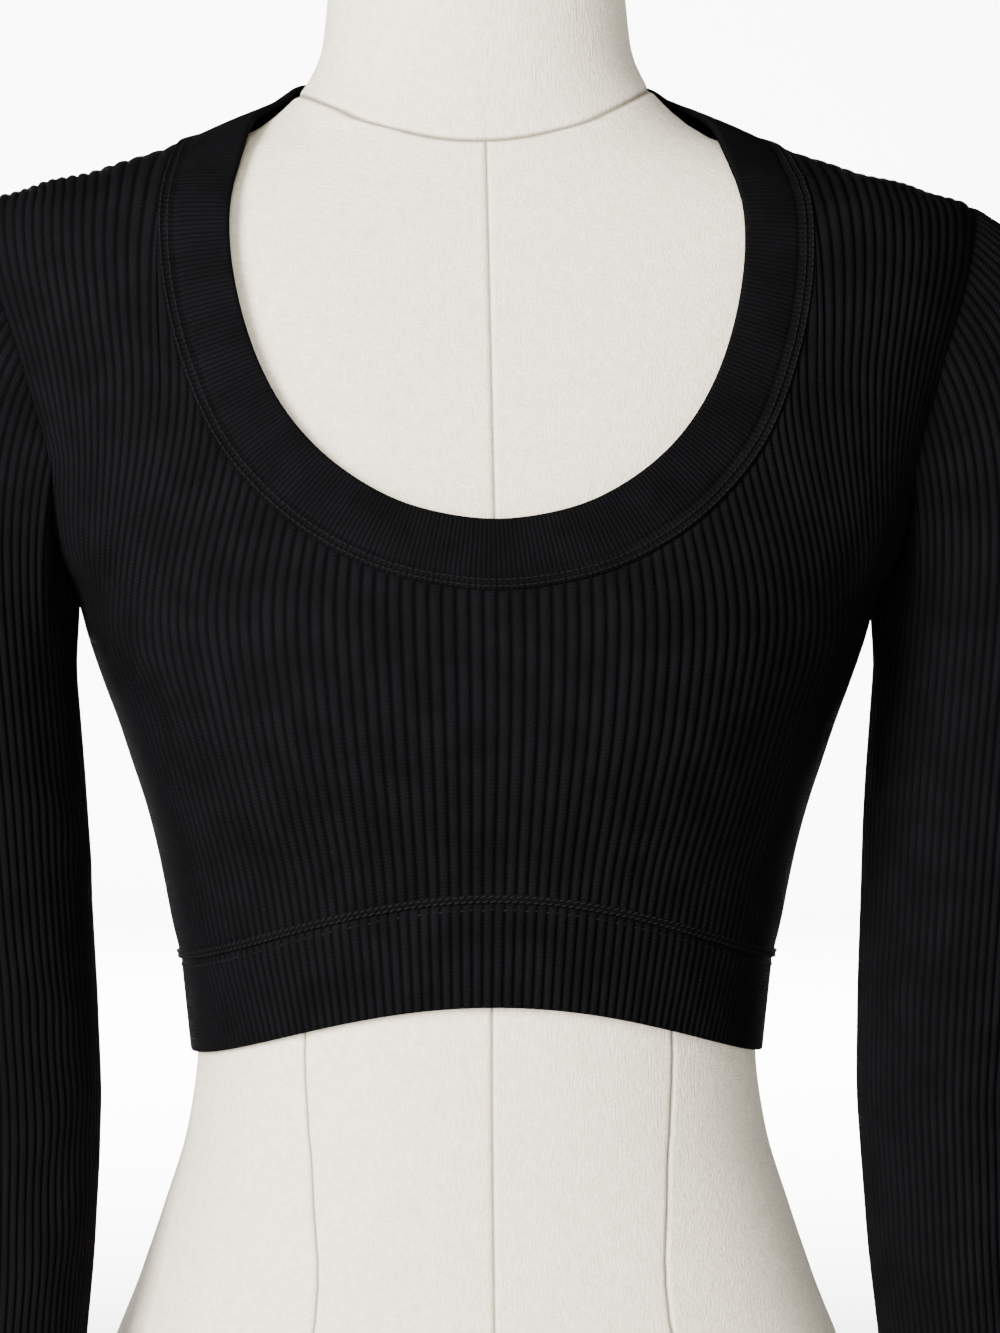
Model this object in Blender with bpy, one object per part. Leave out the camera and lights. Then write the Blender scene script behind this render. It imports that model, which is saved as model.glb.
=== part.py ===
"""A long-sleeved ribbed crop top with a scoop neck, worn on a limbless dress form.

Metres, +Z up. The front faces -Y, and the origin is the centre of the form's flat base.
Every cloth piece is a thin wall: its inner face is plain, and its outer face carries the ribs.
"""

import math

import bpy
import numpy as np

CM = 0.01

# Points along a curve where it is measured or read.
FINE = 240

# Walls and seams.
VALLEY_WALL = 0.0014
RIB_RISE = 0.0008
BAND_WALL = 0.0024
SEAM_GAP = 0.0003
# An inner face stops this far short of the seam, so that its few straight edges stay clear of the next piece.
RIM_BEVEL = 0.0018

# Ribs: front and back have the same number, and the hem band carries on the ribs of both.
PANEL_RIBS = 98
SLEEVE_RIBS = 80
SLEEVE_INNER_STEP = 8
HEM_INNER_STEP = 7
# The panels' inner columns, counted from the centre: closest where the neckline is steep.
PANEL_INNER_COLUMNS = [
    0, 7, 14, 21, 28, 35, 42, 49, 54, 58, 61, 64, 65, 66, 67, 68, 69, 70, 77, 84, 91, 98
]

# Levels, in metres above the floor.
UNDERARM_Z = 0.454
SHOULDER_TIP_Z = 0.6025
SLEEVE_TOP_RING_Z = 0.420
CUFF_Z = 0.035
# The shoulder ridge falls from the root of the neck to this level beyond the shoulder tip.
NECK_ROOT_Z = 0.645
RIDGE_START_Z = 0.590
# Between these levels the armhole's panel and sleeve turn from face to face to edge to edge.
FACE_TO_FACE_Z = (0.480, 0.540)

# The hem band: its side height, its rise at the centre front and back, and the seam above it.
HEM_SIDE_Z = 0.279
HEM_RISE = {"front": 0.0203, "back": 0.0060}
HEM_SEAM_SIDE_Z = 0.3148
HEM_SEAM_RISE = {"front": 0.0244, "back": 0.0110}
HEM_CURVE_POWER = 1.3

# The bust is two soft mounds that the cloth bridges.
BUST = {"x": 0.070, "z": 0.408, "wide": 0.048, "high": 0.052, "rise": 0.008}

# The rib place that ends at the corner of neckline and shoulder seam, and the last one that runs
# straight up into the neckline. The ribs between bend towards the neck as they roll over the shoulder.
CORNER_PLACE = {"front": 35 / 49, "back": 33 / 49}
STRAIGHT_PLACE = {"front": 0.55, "back": 0.30}
STRAIGHT_SHARES = [0.4, 0.7, 1.0]
BEND_POWER = {"neck": 2.2, "strap": 5.5}
# The front's rib place that meets the neckline at this level, on the strap.
STRAP_ENTRY = {"place": 0.635, "z": 0.560}

# Rows of points, as shares of a panel's lower and upper part, and of the sleeve (see sleeve_row).
PANEL_LOWER_ROWS = [0, 0.35, 0.68, 1]
PANEL_UPPER_ROWS = [0, 0.30, 0.58, 0.78, 0.91, 1]
SLEEVE_PLACES = [0, 0.2, 0.45, 0.75, 1.12, 1.55, 2]
NECKBAND_COLUMNS = 72

# The form's rings, in centimetres above the floor.
FORM_COLUMNS = 36
FORM_LEVELS = [
    0, 5, 11, 17, 22, 27, 31, 35.5, 40, 44.5, 49, 53.5, 57.5, 60, 61.2, 62.1, 63, 64.3, 66.3, 69, 69.4
]

RIB_KNIT_COLOUR = (0.0075, 0.0068, 0.0080)
BAND_KNIT_COLOUR = (0.0080, 0.0076, 0.0080)
FORM_LINEN_COLOUR = (0.82, 0.78, 0.70)

# Level, at the centre, of the guide line where a panel's lower rows of points end.
GUIDE_Z = 0.400

# How much closer the ribs lie towards a panel's edge than at its centre, by level in centimetres.
RIB_CROWD = {
    "z":     [30.0, 44.5, 53.0, 57.0, 60.0],
    "crowd": [0.17, 0.17, 0.14, 0.08, 0.00],
}

# Levels, in centimetres, at which the ribs' places are laid out: smooth curves join them.
COURSE_LEVELS = [30.0, 32.5, 35.0, 37.5, 41.0, 44.5, 53.0, 56.0, 59.0, 60.25]

# Inner face of the cloth, in centimetres: level, half width, depth to the front and to the back, and
# the power of the section's superellipse.
CLOTH_SECTIONS = {
    "z":     [26.5, 29.8, 31.4, 32.9, 34.4, 36.0, 37.5, 39.0, 40.6, 42.1, 43.7, 45.4, 47.0, 50.7, 53.9,
              57.5, 59.0, 59.8, 60.25, 60.6, 61.0, 61.3, 61.7, 62.15, 62.75, 63.4, 63.75, 64.1, 64.5,
              65.5, 67.0],
    "half":  [10.84, 10.86, 11.2, 11.57, 11.86, 12.2, 12.6, 13.1, 13.63, 14.2, 14.75, 15.25, 16.2, 17.45,
              18.4, 19.2, 19.35, 19.2, 18.75, 17.5, 16.4, 14.9, 13.7, 12.2, 10.7, 9.1, 8.3, 7.6, 7.1,
              6.9, 6.8],
    "front": [8.8, 8.8, 9.0, 9.3, 9.65, 10.1, 10.6, 11.0, 11.3, 11.4, 11.3, 11.0, 10.55, 9.45, 8.45,
              7.3, 6.8, 6.5, 6.3, 6.15, 6.0, 5.9, 5.8, 5.7, 5.6, 5.5, 5.45, 5.4, 5.35, 5.3, 5.2],
    "back":  [7.7, 7.5, 7.55, 7.65, 7.8, 8.0, 8.25, 8.5, 8.75, 8.95, 9.15, 9.3, 9.4, 9.4, 9.2,
              8.4, 7.8, 7.35, 7.1, 6.9, 6.75, 6.65, 6.55, 6.4, 6.25, 6.15, 6.1, 6.05, 6.0, 5.9, 5.8],
    "power": [2.2, 2.2, 2.2, 2.2, 2.2, 2.25, 2.3, 2.3, 2.35, 2.35, 2.4, 2.45, 2.5, 2.6, 2.65,
              2.6, 2.5, 2.45, 2.4, 2.35, 2.3, 2.3, 2.25, 2.25, 2.2, 2.2, 2.2, 2.2, 2.2, 2.2, 2.2],
}

# The dress form, with the same columns.
FORM_SECTIONS = {
    "z":     [0.0, 3.0, 7.0, 11.5, 15.5, 19.2, 22.0, 25.0, 27.8, 30.0, 33.7, 37.5, 40.6, 43.7, 47.0,
              50.7, 53.9, 57.5, 59.0, 59.8, 60.4, 60.8, 61.2, 61.7, 62.1, 62.5, 62.9, 63.5, 64.3, 65.0,
              66.3, 68.0, 69.0, 69.4],
    "half":  [13.2, 14.1, 14.7, 14.9, 14.3, 12.95, 12.0, 11.1, 10.72, 10.67, 11.38, 12.25, 13.3, 14.4, 15.4,
              16.4, 17.2, 18.0, 18.1, 17.7, 16.8, 15.7, 14.4, 12.8, 11.5, 10.2, 9.0, 8.0, 7.1, 6.5,
              5.95, 5.75, 5.65, 5.2],
    "front": [10.2, 10.7, 10.9, 10.9, 10.4, 9.7, 9.2, 8.8, 8.6, 8.6, 9.2, 10.2, 10.9, 10.95, 10.2,
              9.1, 8.1, 6.95, 6.45, 6.15, 5.95, 5.8, 5.65, 5.5, 5.4, 5.3, 5.2, 5.1, 5.0, 4.95,
              4.9, 4.85, 4.8, 4.35],
    "back":  [10.6, 11.4, 11.9, 12.0, 11.3, 10.1, 9.0, 7.95, 7.45, 7.3, 7.4, 7.9, 8.4, 8.8, 9.05,
              9.05, 8.85, 8.05, 7.45, 7.0, 6.7, 6.5, 6.35, 6.15, 6.0, 5.85, 5.75, 5.65, 5.5, 5.4,
              5.2, 5.05, 5.0, 4.5],
    "power": [2.3, 2.3, 2.3, 2.3, 2.3, 2.3, 2.25, 2.2, 2.2, 2.2, 2.25, 2.25, 2.25, 2.25, 2.3,
              2.4, 2.4, 2.3, 2.2, 2.15, 2.1, 2.1, 2.05, 2.05, 2.05, 2.05, 2.05, 2.1, 2.1, 2.1,
              2.1, 2.0, 2.0, 2.0],
}

# The armhole seam in centimetres: level, and how far it lies before and behind the shoulder plane.
ARMHOLE = {
    "z":     [45.4, 46.0, 47.0, 48.0, 49.0, 50.7, 53.9, 57.5, 59.0, 59.8, 60.1, 60.25],
    "front": [0.0, 0.78, 1.90, 2.90, 3.70, 4.5, 4.1, 3.0, 2.4, 1.8, 1.2, 0.0],
    "back":  [0.0, 0.75, 1.75, 2.65, 3.4, 4.05, 4.1, 3.2, 2.6, 1.9, 1.2, 0.0],
}

# The neckline in centimetres, from the centre front over the shoulder to the centre back: the band's
# seam and its free edge. Side is -1 on the front, 1 on the back and 0 on the shoulder ridge.
NECK_SEAM = {
    "x":    [0.0, 3.4, 6.5, 8.9, 10.4, 11.3, 11.9, 12.25, 12.35, 12.25, 11.8, 11.1,
             9.6, 7.6, 4.5, 0.0],
    "z":    [45.5, 45.95, 47.3, 49.3, 51.3, 53.4, 55.4, 57.4, 58.9, 60.4, 61.6, 62.6,
             62.95, 63.0, 63.0, 63.0],
    "side": [-1, -1, -1, -1, -1, -1, -1, -1, -1, -1, -1, 0, 1, 1, 1, 1],
}
NECK_EDGE = {
    "x":    [0.0, 2.9, 5.3, 7.05, 8.1, 8.8, 9.3, 9.6, 9.75, 9.65, 9.2, 7.75, 6.9, 5.4, 3.0, 0.0],
    "z":    [48.1, 48.55, 49.75, 51.3, 52.8, 54.3, 55.9, 57.4, 58.9, 60.4, 61.8, 64.05,
             64.7, 65.2, 65.4, 65.5],
    "side": [-1, -1, -1, -1, -1, -1, -1, -1, -1, -1, -1, 0, 1, 1, 1, 1],
}

# The sleeve below its top ring, in centimetres: level, centre, and half width across and front to back.
SLEEVE_SECTIONS = {
    "z":      [3.5, 11.5, 17.5, 21.5, 25.5, 29.5, 33.5, 37.5, 42.0],
    "x":      [19.3, 19.1, 18.75, 18.6, 18.6, 18.85, 19.2, 19.55, 20.0],
    "y":      [-6.0, -5.2, -4.2, -3.4, -2.5, -1.6, -0.9, -0.4, -0.1],
    "across": [2.95, 3.2, 3.48, 3.68, 3.88, 4.05, 4.2, 4.35, 4.45],
    "deep":   [3.05, 3.3, 3.6, 3.8, 4.0, 4.2, 4.4, 4.6, 4.75],
}


def smooth(places, values, at):
    """Reads a table along a smooth curve that never overshoots its own values."""
    places = np.asarray(places, float)
    values = np.asarray(values, float)
    steps = np.diff(places)
    slopes = np.diff(values) / steps
    tangents = np.concatenate([slopes[:1], np.zeros(len(slopes) - 1), slopes[-1:]])
    same = slopes[1:] * slopes[:-1] > 0
    mean = 2 * slopes[1:] * slopes[:-1] / np.where(same, slopes[1:] + slopes[:-1], 1)
    tangents[1:-1] = np.where(same, mean, 0)
    at = np.clip(np.asarray(at, float), places[0], places[-1])
    i = np.clip(np.searchsorted(places, at, side="right") - 1, 0, len(steps) - 1)
    t = (at - places[i]) / steps[i]
    start = (1 + 2 * t) * (1 - t) ** 2 * values[i] + t * (1 - t) ** 2 * steps[i] * tangents[i]
    end = t * t * (3 - 2 * t) * values[i + 1] + t * t * (t - 1) * steps[i] * tangents[i + 1]
    return start + end


def ease(low, high, at):
    """0 below low, 1 above high, smooth between."""
    t = np.clip((np.asarray(at, float) - low) / (high - low), 0, 1)
    return t * t * (3 - 2 * t)


def unit(vectors):
    return vectors / np.linalg.norm(vectors, axis=-1, keepdims=True)


def section(sections, z):
    """Half width, front depth, back depth and power of a body at the levels z, in metres."""
    level = np.asarray(z, float) / CM
    names = ("half", "front", "back")
    half, front, back = [smooth(sections["z"], sections[name], level) * CM for name in names]
    return half, front, back, smooth(sections["z"], sections["power"], level)


def bust_rise(x, z):
    """How far the cloth stands out over the bust, and half as far where it bridges the middle."""
    inside = 1 - 0.4 * np.clip(1 - (x / BUST["x"]) ** 2, 0, 1) ** 2
    outside = np.exp(-(np.maximum(np.abs(x) - BUST["x"], 0) / BUST["wide"]) ** 2)
    up = np.exp(-(((np.asarray(z) - BUST["z"]) / BUST["high"]) ** 2))
    return BUST["rise"] * np.where(np.abs(x) > BUST["x"], outside, inside) * up


def depth(sections, x, z, side):
    """The y of the body's surface at x and z, on the front (side -1) or the back (side 1)."""
    half, front, back, power = section(sections, z)
    share = np.clip(np.abs(x) / half, 0, 1) ** power
    flat = np.clip(1 - share, 0, 1) ** (1 / power)
    if side < 0:
        return -flat * (front + bust_rise(x, z))
    return flat * back


def surface_level(sections, points):
    """1 on the body's surface, less inside, more outside."""
    half, front, back, power = section(sections, points[..., 2])
    reach = np.where(points[..., 1] < 0, front + bust_rise(points[..., 0], points[..., 2]), back)
    return (np.abs(points[..., 0]) / half) ** power + (np.abs(points[..., 1]) / reach) ** power


def surface_slope(sections, points):
    """Slope of surface_level at the points."""
    small = 0.0004
    slopes = []
    for axis in np.eye(3) * small:
        slopes.append(surface_level(sections, points + axis) - surface_level(sections, points - axis))
    return np.stack(slopes, axis=-1) / (2 * small)


def outward(sections, points):
    """Unit normals of the body's surface at the points."""
    return unit(surface_slope(sections, points))


def onto(sections, points):
    """The points moved onto the body's surface."""
    for _ in range(6):
        slope = surface_slope(sections, points)
        off = surface_level(sections, points) - 1
        points = points - slope * (off / np.sum(slope**2, axis=-1))[..., None]
    return points


def across_section(sections, z, edge, side, shares):
    """Points of one level of the body, at shares of the way along its surface from the centre to edge."""
    half, front, back, power = section(sections, z)
    reach = min(1.0, edge / half) ** (power / 2)
    turn = np.linspace(0, math.asin(reach), FINE)
    x = half * np.sin(turn) ** (2 / power)
    y = depth(sections, x, z, side)
    along = np.concatenate([[0], np.cumsum(np.hypot(np.diff(x), np.diff(y)))])
    return np.interp(np.asarray(shares) * along[-1], along, x)


def panel_edges(side, z):
    """Distance from the centre of a panel's side edge: the side seam, and above it the armhole."""
    half, front, back, power = section(CLOTH_SECTIONS, np.minimum(z, SHOULDER_TIP_Z))
    column, reach = ("front", front) if side < 0 else ("back", back)
    y = smooth(ARMHOLE["z"], ARMHOLE[column], np.asarray(z) / CM) * CM
    return np.where(z <= UNDERARM_Z, half, half * (1 - (y / reach) ** power) ** (1 / power))


def panel_edge(side, z):
    """The same at one level."""
    return float(panel_edges(side, z))


def rib_share(w, z):
    """Share of the way to the panel's edge of a rib: the knit is stretched most over the middle."""
    crowd = smooth(RIB_CROWD["z"], RIB_CROWD["crowd"], z / CM)
    return w + crowd * w * (1 - w)


def neck_curve(table):
    """Half of a neckline from the centre front to the centre back, as points on the cloth's inner face."""
    x = np.array(table["x"]) * CM
    z = np.array(table["z"]) * CM
    y = np.zeros(len(x))
    for i, side in enumerate(table["side"]):
        if side:
            y[i] = depth(CLOTH_SECTIONS, x[i], z[i], side)
    corners = np.stack([x, y, z], axis=-1)
    # The next point across the middle, at each end, makes the curve level where it crosses.
    mirror = np.array([-1, 1, 1])
    corners = np.vstack([corners[1] * mirror, corners, corners[-2] * mirror])
    run = np.concatenate([[0], np.cumsum(np.linalg.norm(np.diff(corners, axis=0), axis=1))])
    at = np.linspace(run[1], run[-2], FINE)
    curve = onto(CLOTH_SECTIONS, np.stack([smooth(run, corners[:, k], at) for k in range(3)], axis=-1))
    curve[[0, -1], 0] = 0
    return curve


def ridge_level(x):
    """Level of the shoulder ridge at the distance x from the centre, up to the root of the neck."""
    levels = np.linspace(RIDGE_START_Z, NECK_ROOT_Z, FINE)
    half = section(CLOTH_SECTIONS, levels)[0]
    return np.interp(x, half[::-1], levels[::-1])


def top_edge(side):
    """A panel's top edge from the centre to the shoulder tip, its length at the corner, and in all."""
    seam = neck_curve(NECK_SEAM)
    ridge = int(np.argmin(np.abs(seam[:, 1])))
    neck = seam[: ridge + 1] if side < 0 else seam[ridge:][::-1]
    neck = neck.copy()
    neck[-1, 1] = 0
    x = np.linspace(neck[-1, 0], section(CLOTH_SECTIONS, SHOULDER_TIP_Z)[0], 200)[1:]
    shoulder = np.stack([x, np.zeros(len(x)), ridge_level(x)], axis=-1)
    edge = np.vstack([neck, shoulder])
    run = np.concatenate([[0], np.cumsum(np.linalg.norm(np.diff(edge, axis=0), axis=1))])
    return edge, run, run[len(neck) - 1]


def hem_level(side, x, z_side, rises):
    """Level of the hem or of its seam, which is higher at the centre than at the sides."""
    half = section(CLOTH_SECTIONS, z_side)[0]
    share = np.clip(1 - (x / half) ** 2, 0, 1) ** HEM_CURVE_POWER
    return z_side + rises["front" if side < 0 else "back"] * share


def hem_points(side, w, z_side, rises, shift):
    """Points of the hem or of its seam at the rib places w (0 at the centre, 1 at the side)."""
    x = across_section(CLOTH_SECTIONS, z_side, panel_edge(side, z_side), side, rib_share(w, z_side))
    share = x / x[-1]
    for _ in range(4):
        z = hem_level(side, x, z_side, rises)
        x = share * section(CLOTH_SECTIONS, z)[0]
    z = z + shift
    x = share * section(CLOTH_SECTIONS, z)[0]
    return np.stack([x, depth(CLOTH_SECTIONS, x, z, side), z], axis=-1)


def rib_ends(side, w, straight_x):
    """Where each rib place w meets the panel's top edge."""
    face = "front" if side < 0 else "back"
    edge, run, corner = top_edge(side)
    # A rib that runs straight up meets the neckline where that is as far from the centre as the rib.
    nodes = np.array(STRAIGHT_SHARES) * STRAIGHT_PLACE[face]
    met = []
    for place in nodes:
        x = straight_x(place, edge[:, 2])
        met.append(run[int(np.argmax(edge[:, 0] >= x))])
    places = [0, *nodes, CORNER_PLACE[face], 1]
    met = [0, *met, corner, run[-1]]
    if side < 0:
        places.insert(-2, STRAP_ENTRY["place"])
        met.insert(-2, run[int(np.argmax(edge[:, 2] >= STRAP_ENTRY["z"]))])
    at = smooth(places, met, w)
    return np.stack([np.interp(at, run, edge[:, k]) for k in range(3)], axis=-1)


def rib_paths(side, w, samples):
    """The course of each rib place w (0 at the centre, 1 at the edge), from hem seam to top edge."""
    face = "front" if side < 0 else "back"
    places = np.linspace(0, 1, PANEL_RIBS + 1)
    crossings = []
    for z in COURSE_LEVELS:
        level = min(z * CM, SHOULDER_TIP_Z)
        crossings.append(
            across_section(CLOTH_SECTIONS, level, panel_edge(side, level), side, rib_share(places, level))
        )
    crossings = np.stack(crossings)

    def straight_x(place, z):
        """Distance from the centre of a rib that runs straight up, at the levels z."""
        column = [np.interp(place, places, row) for row in crossings]
        edge_gap = panel_edges(side, z) - smooth(COURSE_LEVELS, crossings[:, -1], z / CM)
        return smooth(COURSE_LEVELS, column, z / CM) + edge_gap * place**8

    ends = rib_ends(side, w, straight_x)
    bottom = hem_points(side, w, HEM_SEAM_SIDE_Z, HEM_SEAM_RISE, SEAM_GAP / 2)
    paths = []
    for place, start, end in zip(w, bottom, ends):
        guide = GUIDE_Z + (UNDERARM_Z - GUIDE_Z) * place**2
        z = np.linspace(start[2], guide, samples)
        lower = np.stack([straight_x(place, z), z * 0, z], axis=-1)
        lower[0, 0] = start[0]
        # Above the guide line the rib is laid out by how far it has climbed to the shoulder ridge.
        t = np.linspace(0, 1, samples)
        climb = np.sin(t * math.asin(min(1, (end[2] - guide) / (ridge_level(end[0]) - guide))))
        shift = end[0] - straight_x(place, end[2])
        on_strap = ease(STRAIGHT_PLACE[face], CORNER_PLACE[face], place)
        bend = t ** (BEND_POWER["neck"] + (BEND_POWER["strap"] - BEND_POWER["neck"]) * on_strap)
        z = guide + t * (end[2] - guide)
        for _ in range(8):
            x = straight_x(place, z) + shift * bend
            z = guide + (ridge_level(x) - guide) * climb
        upper = np.stack([x, z * 0, z], axis=-1)
        upper[-1] = end
        for part in (lower, upper):
            y = np.abs(depth(CLOTH_SECTIONS, part[:, 0], part[:, 2], side))
            part[:, 1] = side * np.maximum(y, SEAM_GAP / 2)
        if place >= 1:
            lower[:, 1] = upper[0, 1] = side * SEAM_GAP / 2
        paths.append((lower, upper))
    return paths


def along(path, places):
    """Points of a polyline at shares of its length."""
    run = np.concatenate([[0], np.cumsum(np.linalg.norm(np.diff(path, axis=0), axis=1))])
    at = np.asarray(places) * run[-1]
    return np.stack([np.interp(at, run, path[:, k]) for k in range(3)], axis=-1)


def panel_grid(side, columns, lower_rows, upper_rows):
    """Base points of the front or back: rows from hem seam to top edge, columns from -X to +X."""
    w = np.linspace(0, 1, columns // 2 + 1)
    half_grid = []
    for lower, upper in rib_paths(side, w, FINE):
        half_grid.append(np.vstack([along(lower, lower_rows), along(upper, upper_rows)[1:]]))
    half_grid = np.stack(half_grid, axis=1)
    mirrored = half_grid[:, :0:-1] * np.array([-1, 1, 1])
    return np.concatenate([mirrored, half_grid], axis=1)


def wall_mesh(outer, inner, picks, wrap):
    """Vertices and faces of a closed wall between an outer grid and an inner grid of some of its columns."""
    rows, fine = outer.shape[:2]
    coarse = inner.shape[1]
    verts = np.concatenate([outer.reshape(-1, 3), inner.reshape(-1, 3)])
    faces = []

    def out(row, column):
        return row * fine + column % fine

    def within(row, column):
        return rows * fine + row * coarse + column % coarse

    turns = list(picks) + [fine] if wrap else list(picks)
    for row in range(rows - 1):
        for c in range(fine if wrap else fine - 1):
            faces.append((out(row, c), out(row, c + 1), out(row + 1, c + 1), out(row + 1, c)))
        for c in range(len(turns) - 1):
            corners = (within(row, c + 1), within(row, c), within(row + 1, c), within(row + 1, c + 1))
            outside = verts[out(row, turns[c])] - verts[within(row, c)]
            faces += inward_pair(verts, corners, outside)
        if not wrap:
            last, end = fine - 1, coarse - 1
            faces.append((out(row, last), within(row, end), within(row + 1, end), out(row + 1, last)))
            faces.append((out(row + 1, 0), within(row + 1, 0), within(row, 0), out(row, 0)))
    for row, turn in ((0, 1), (rows - 1, -1)):
        rim = [(out(row, j + 1), out(row, j), out(row, j - 1)) for j in range(1, turns[-1], 2)]
        c = 0
        for j in range(0, turns[-1], 2):
            while c < len(turns) - 1 and 2 * j + 2 > turns[c] + turns[c + 1]:
                rim.append((out(row, j), within(row, c), within(row, c + 1)))
                c += 1
            rim.append((out(row, j + 2), out(row, j), within(row, c)))
        for last in range(c, len(turns) - 1):
            rim.append((out(row, turns[-1]), within(row, last), within(row, last + 1)))
        faces += [face[::turn] for face in rim]
    return verts, faces


def inward_pair(verts, corners, outside):
    """Two triangles over four corners, split along the diagonal that lies further in."""
    a, b, c, d = corners
    if np.dot(verts[a] + verts[c] - verts[b] - verts[d], outside) < 0:
        return [(a, b, c), (a, c, d)]
    return [(a, b, d), (b, c, d)]


def inner_face(base, normals, picks, wrap):
    """Some columns of the base grid, with the end rows a little short of the seams."""
    inner = base[:, picks].copy()
    for row, next_row in ((0, 1), (-1, -2)):
        if wrap:
            course = np.roll(base[row], -1, axis=0) - np.roll(base[row], 1, axis=0)
        else:
            course = np.gradient(base[row], axis=0)
        back = unit(np.cross(normals[row], course))
        towards = np.sign(np.sum(back * (base[next_row] - base[row])))
        inner[row] += (back * towards)[picks] * RIM_BEVEL
    return inner


def ribbed(base, normals):
    """The outer face over a base grid: valleys and peaks take turns from column to column."""
    rise = VALLEY_WALL + RIB_RISE * (np.arange(base.shape[1]) % 2)
    return base + normals * rise[None, :, None]


def make_object(name, verts, faces, material):
    """A named object with its own mesh and material."""
    mesh = bpy.data.meshes.new(name)
    mesh.from_pydata([tuple(v) for v in verts], [], faces)
    mesh.validate()
    mesh.polygons.foreach_set("use_smooth", [True] * len(mesh.polygons))
    mesh.materials.append(material)
    obj = bpy.data.objects.new(name, mesh)
    bpy.context.scene.collection.objects.link(obj)
    return obj


def plain_material(name, colour, roughness):
    material = bpy.data.materials.new(name)
    material.use_nodes = True
    surface = material.node_tree.nodes["Principled BSDF"]
    surface.inputs["Base Color"].default_value = (*colour, 1)
    surface.inputs["Roughness"].default_value = roughness
    surface.inputs["Metallic"].default_value = 0
    return material


def clear_scene():
    for obj in list(bpy.data.objects):
        bpy.data.objects.remove(obj)


def build_panel(name, side, material):
    """Front or back: a ribbed wall from the hem seam to the neckline, shoulder and armhole."""
    columns = 2 * PANEL_RIBS
    base = panel_grid(side, columns, PANEL_LOWER_ROWS, PANEL_UPPER_ROWS)[:, ::-side]
    normals = outward(CLOTH_SECTIONS, base)
    left = [PANEL_RIBS - c for c in PANEL_INNER_COLUMNS[:0:-1]]
    picks = left + [PANEL_RIBS + c for c in PANEL_INNER_COLUMNS]
    inner = inner_face(base, normals, picks, False)
    verts, faces = wall_mesh(ribbed(base, normals), inner, picks, False)
    return make_object(name, verts, faces, material)


def hem_ring(z_side, rises, shift):
    """One ring of points round the lower body, at the rib places of front and back."""
    w = np.linspace(0, 1, PANEL_RIBS + 1)
    front = hem_points(-1, w, z_side, rises, shift)
    back = hem_points(1, w, z_side, rises, shift)
    mirror = np.array([-1, 1, 1])
    return np.concatenate([front[:0:-1] * mirror, front, back[-2::-1], back[1:-1] * mirror])


def build_hem_band(material):
    """The ring below front and back, with the same ribs."""
    rings = [
        hem_ring(HEM_SIDE_Z, HEM_RISE, 0),
        hem_ring(HEM_SEAM_SIDE_Z, HEM_SEAM_RISE, -SEAM_GAP / 2),
    ]
    base = np.stack(rings)
    normals = outward(CLOTH_SECTIONS, base)
    picks = list(range(0, base.shape[1], HEM_INNER_STEP))
    inner = inner_face(base, normals, picks, True)
    verts, faces = wall_mesh(ribbed(base, normals), inner, picks, True)
    return make_object("hem_band", verts, faces, material)


def whole_loop(half, count):
    """A closed loop of evenly spaced points from a half curve that starts and ends at x = 0."""
    loop = np.concatenate([half, half[-2::-1] * np.array([-1, 1, 1])])
    return along(loop, np.arange(count) / count)


def build_neckband(material):
    """A strip round the neckline, from its seam to its free edge."""
    seam = whole_loop(neck_curve(NECK_SEAM), NECKBAND_COLUMNS)
    edge = whole_loop(neck_curve(NECK_EDGE), NECKBAND_COLUMNS)
    across = unit(edge - seam)
    around = np.roll(seam + edge, -1, axis=0) - np.roll(seam + edge, 1, axis=0)
    start = seam + across * 3 * SEAM_GAP
    base = np.stack([start, (start + edge) / 2, edge])
    own = unit(np.cross(around, across))
    # At the seam the band's wall stands like the panel's, so that their rims stay parallel.
    normals = np.stack([outward(CLOTH_SECTIONS, seam), own, own])
    outer = base + normals * BAND_WALL
    verts, faces = wall_mesh(outer, base, list(range(NECKBAND_COLUMNS)), True)
    return make_object("neckband", verts, faces, material)


def armhole_half(side, turns):
    """Points of the armhole seam on the front or back, at turns from 0 (shoulder tip) to pi (underarm)."""
    rise = (1 + np.cos(np.linspace(0, math.pi, FINE))) / 2
    z = UNDERARM_Z + (SHOULDER_TIP_Z - UNDERARM_Z) * rise
    x = panel_edges(side, z)
    y = depth(CLOTH_SECTIONS, x, z, side)
    y[[0, -1]] = 0
    return along(np.stack([x, y, z], axis=-1), np.asarray(turns) / math.pi)


def armhole_points(turns):
    """Points of the whole armhole seam of the +X side: the front up to a turn of pi, then the back."""
    turns = np.mod(turns, 2 * math.pi)
    front = armhole_half(-1, np.minimum(turns, math.pi))
    back = armhole_half(1, np.minimum(2 * math.pi - turns, math.pi))
    return np.where((turns <= math.pi)[:, None], front, back)


def sleeve_ring(turns, z):
    """Points of the sleeve's section at the level z: outside of the arm first, then its front."""
    level = z / CM
    names = ("x", "y", "across", "deep")
    x, y, across, deep = [smooth(SLEEVE_SECTIONS["z"], SLEEVE_SECTIONS[k], level) * CM for k in names]
    ring = [x + across * np.cos(turns), y - deep * np.sin(turns), np.full(len(turns), z)]
    return np.stack(ring, axis=-1)


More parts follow.
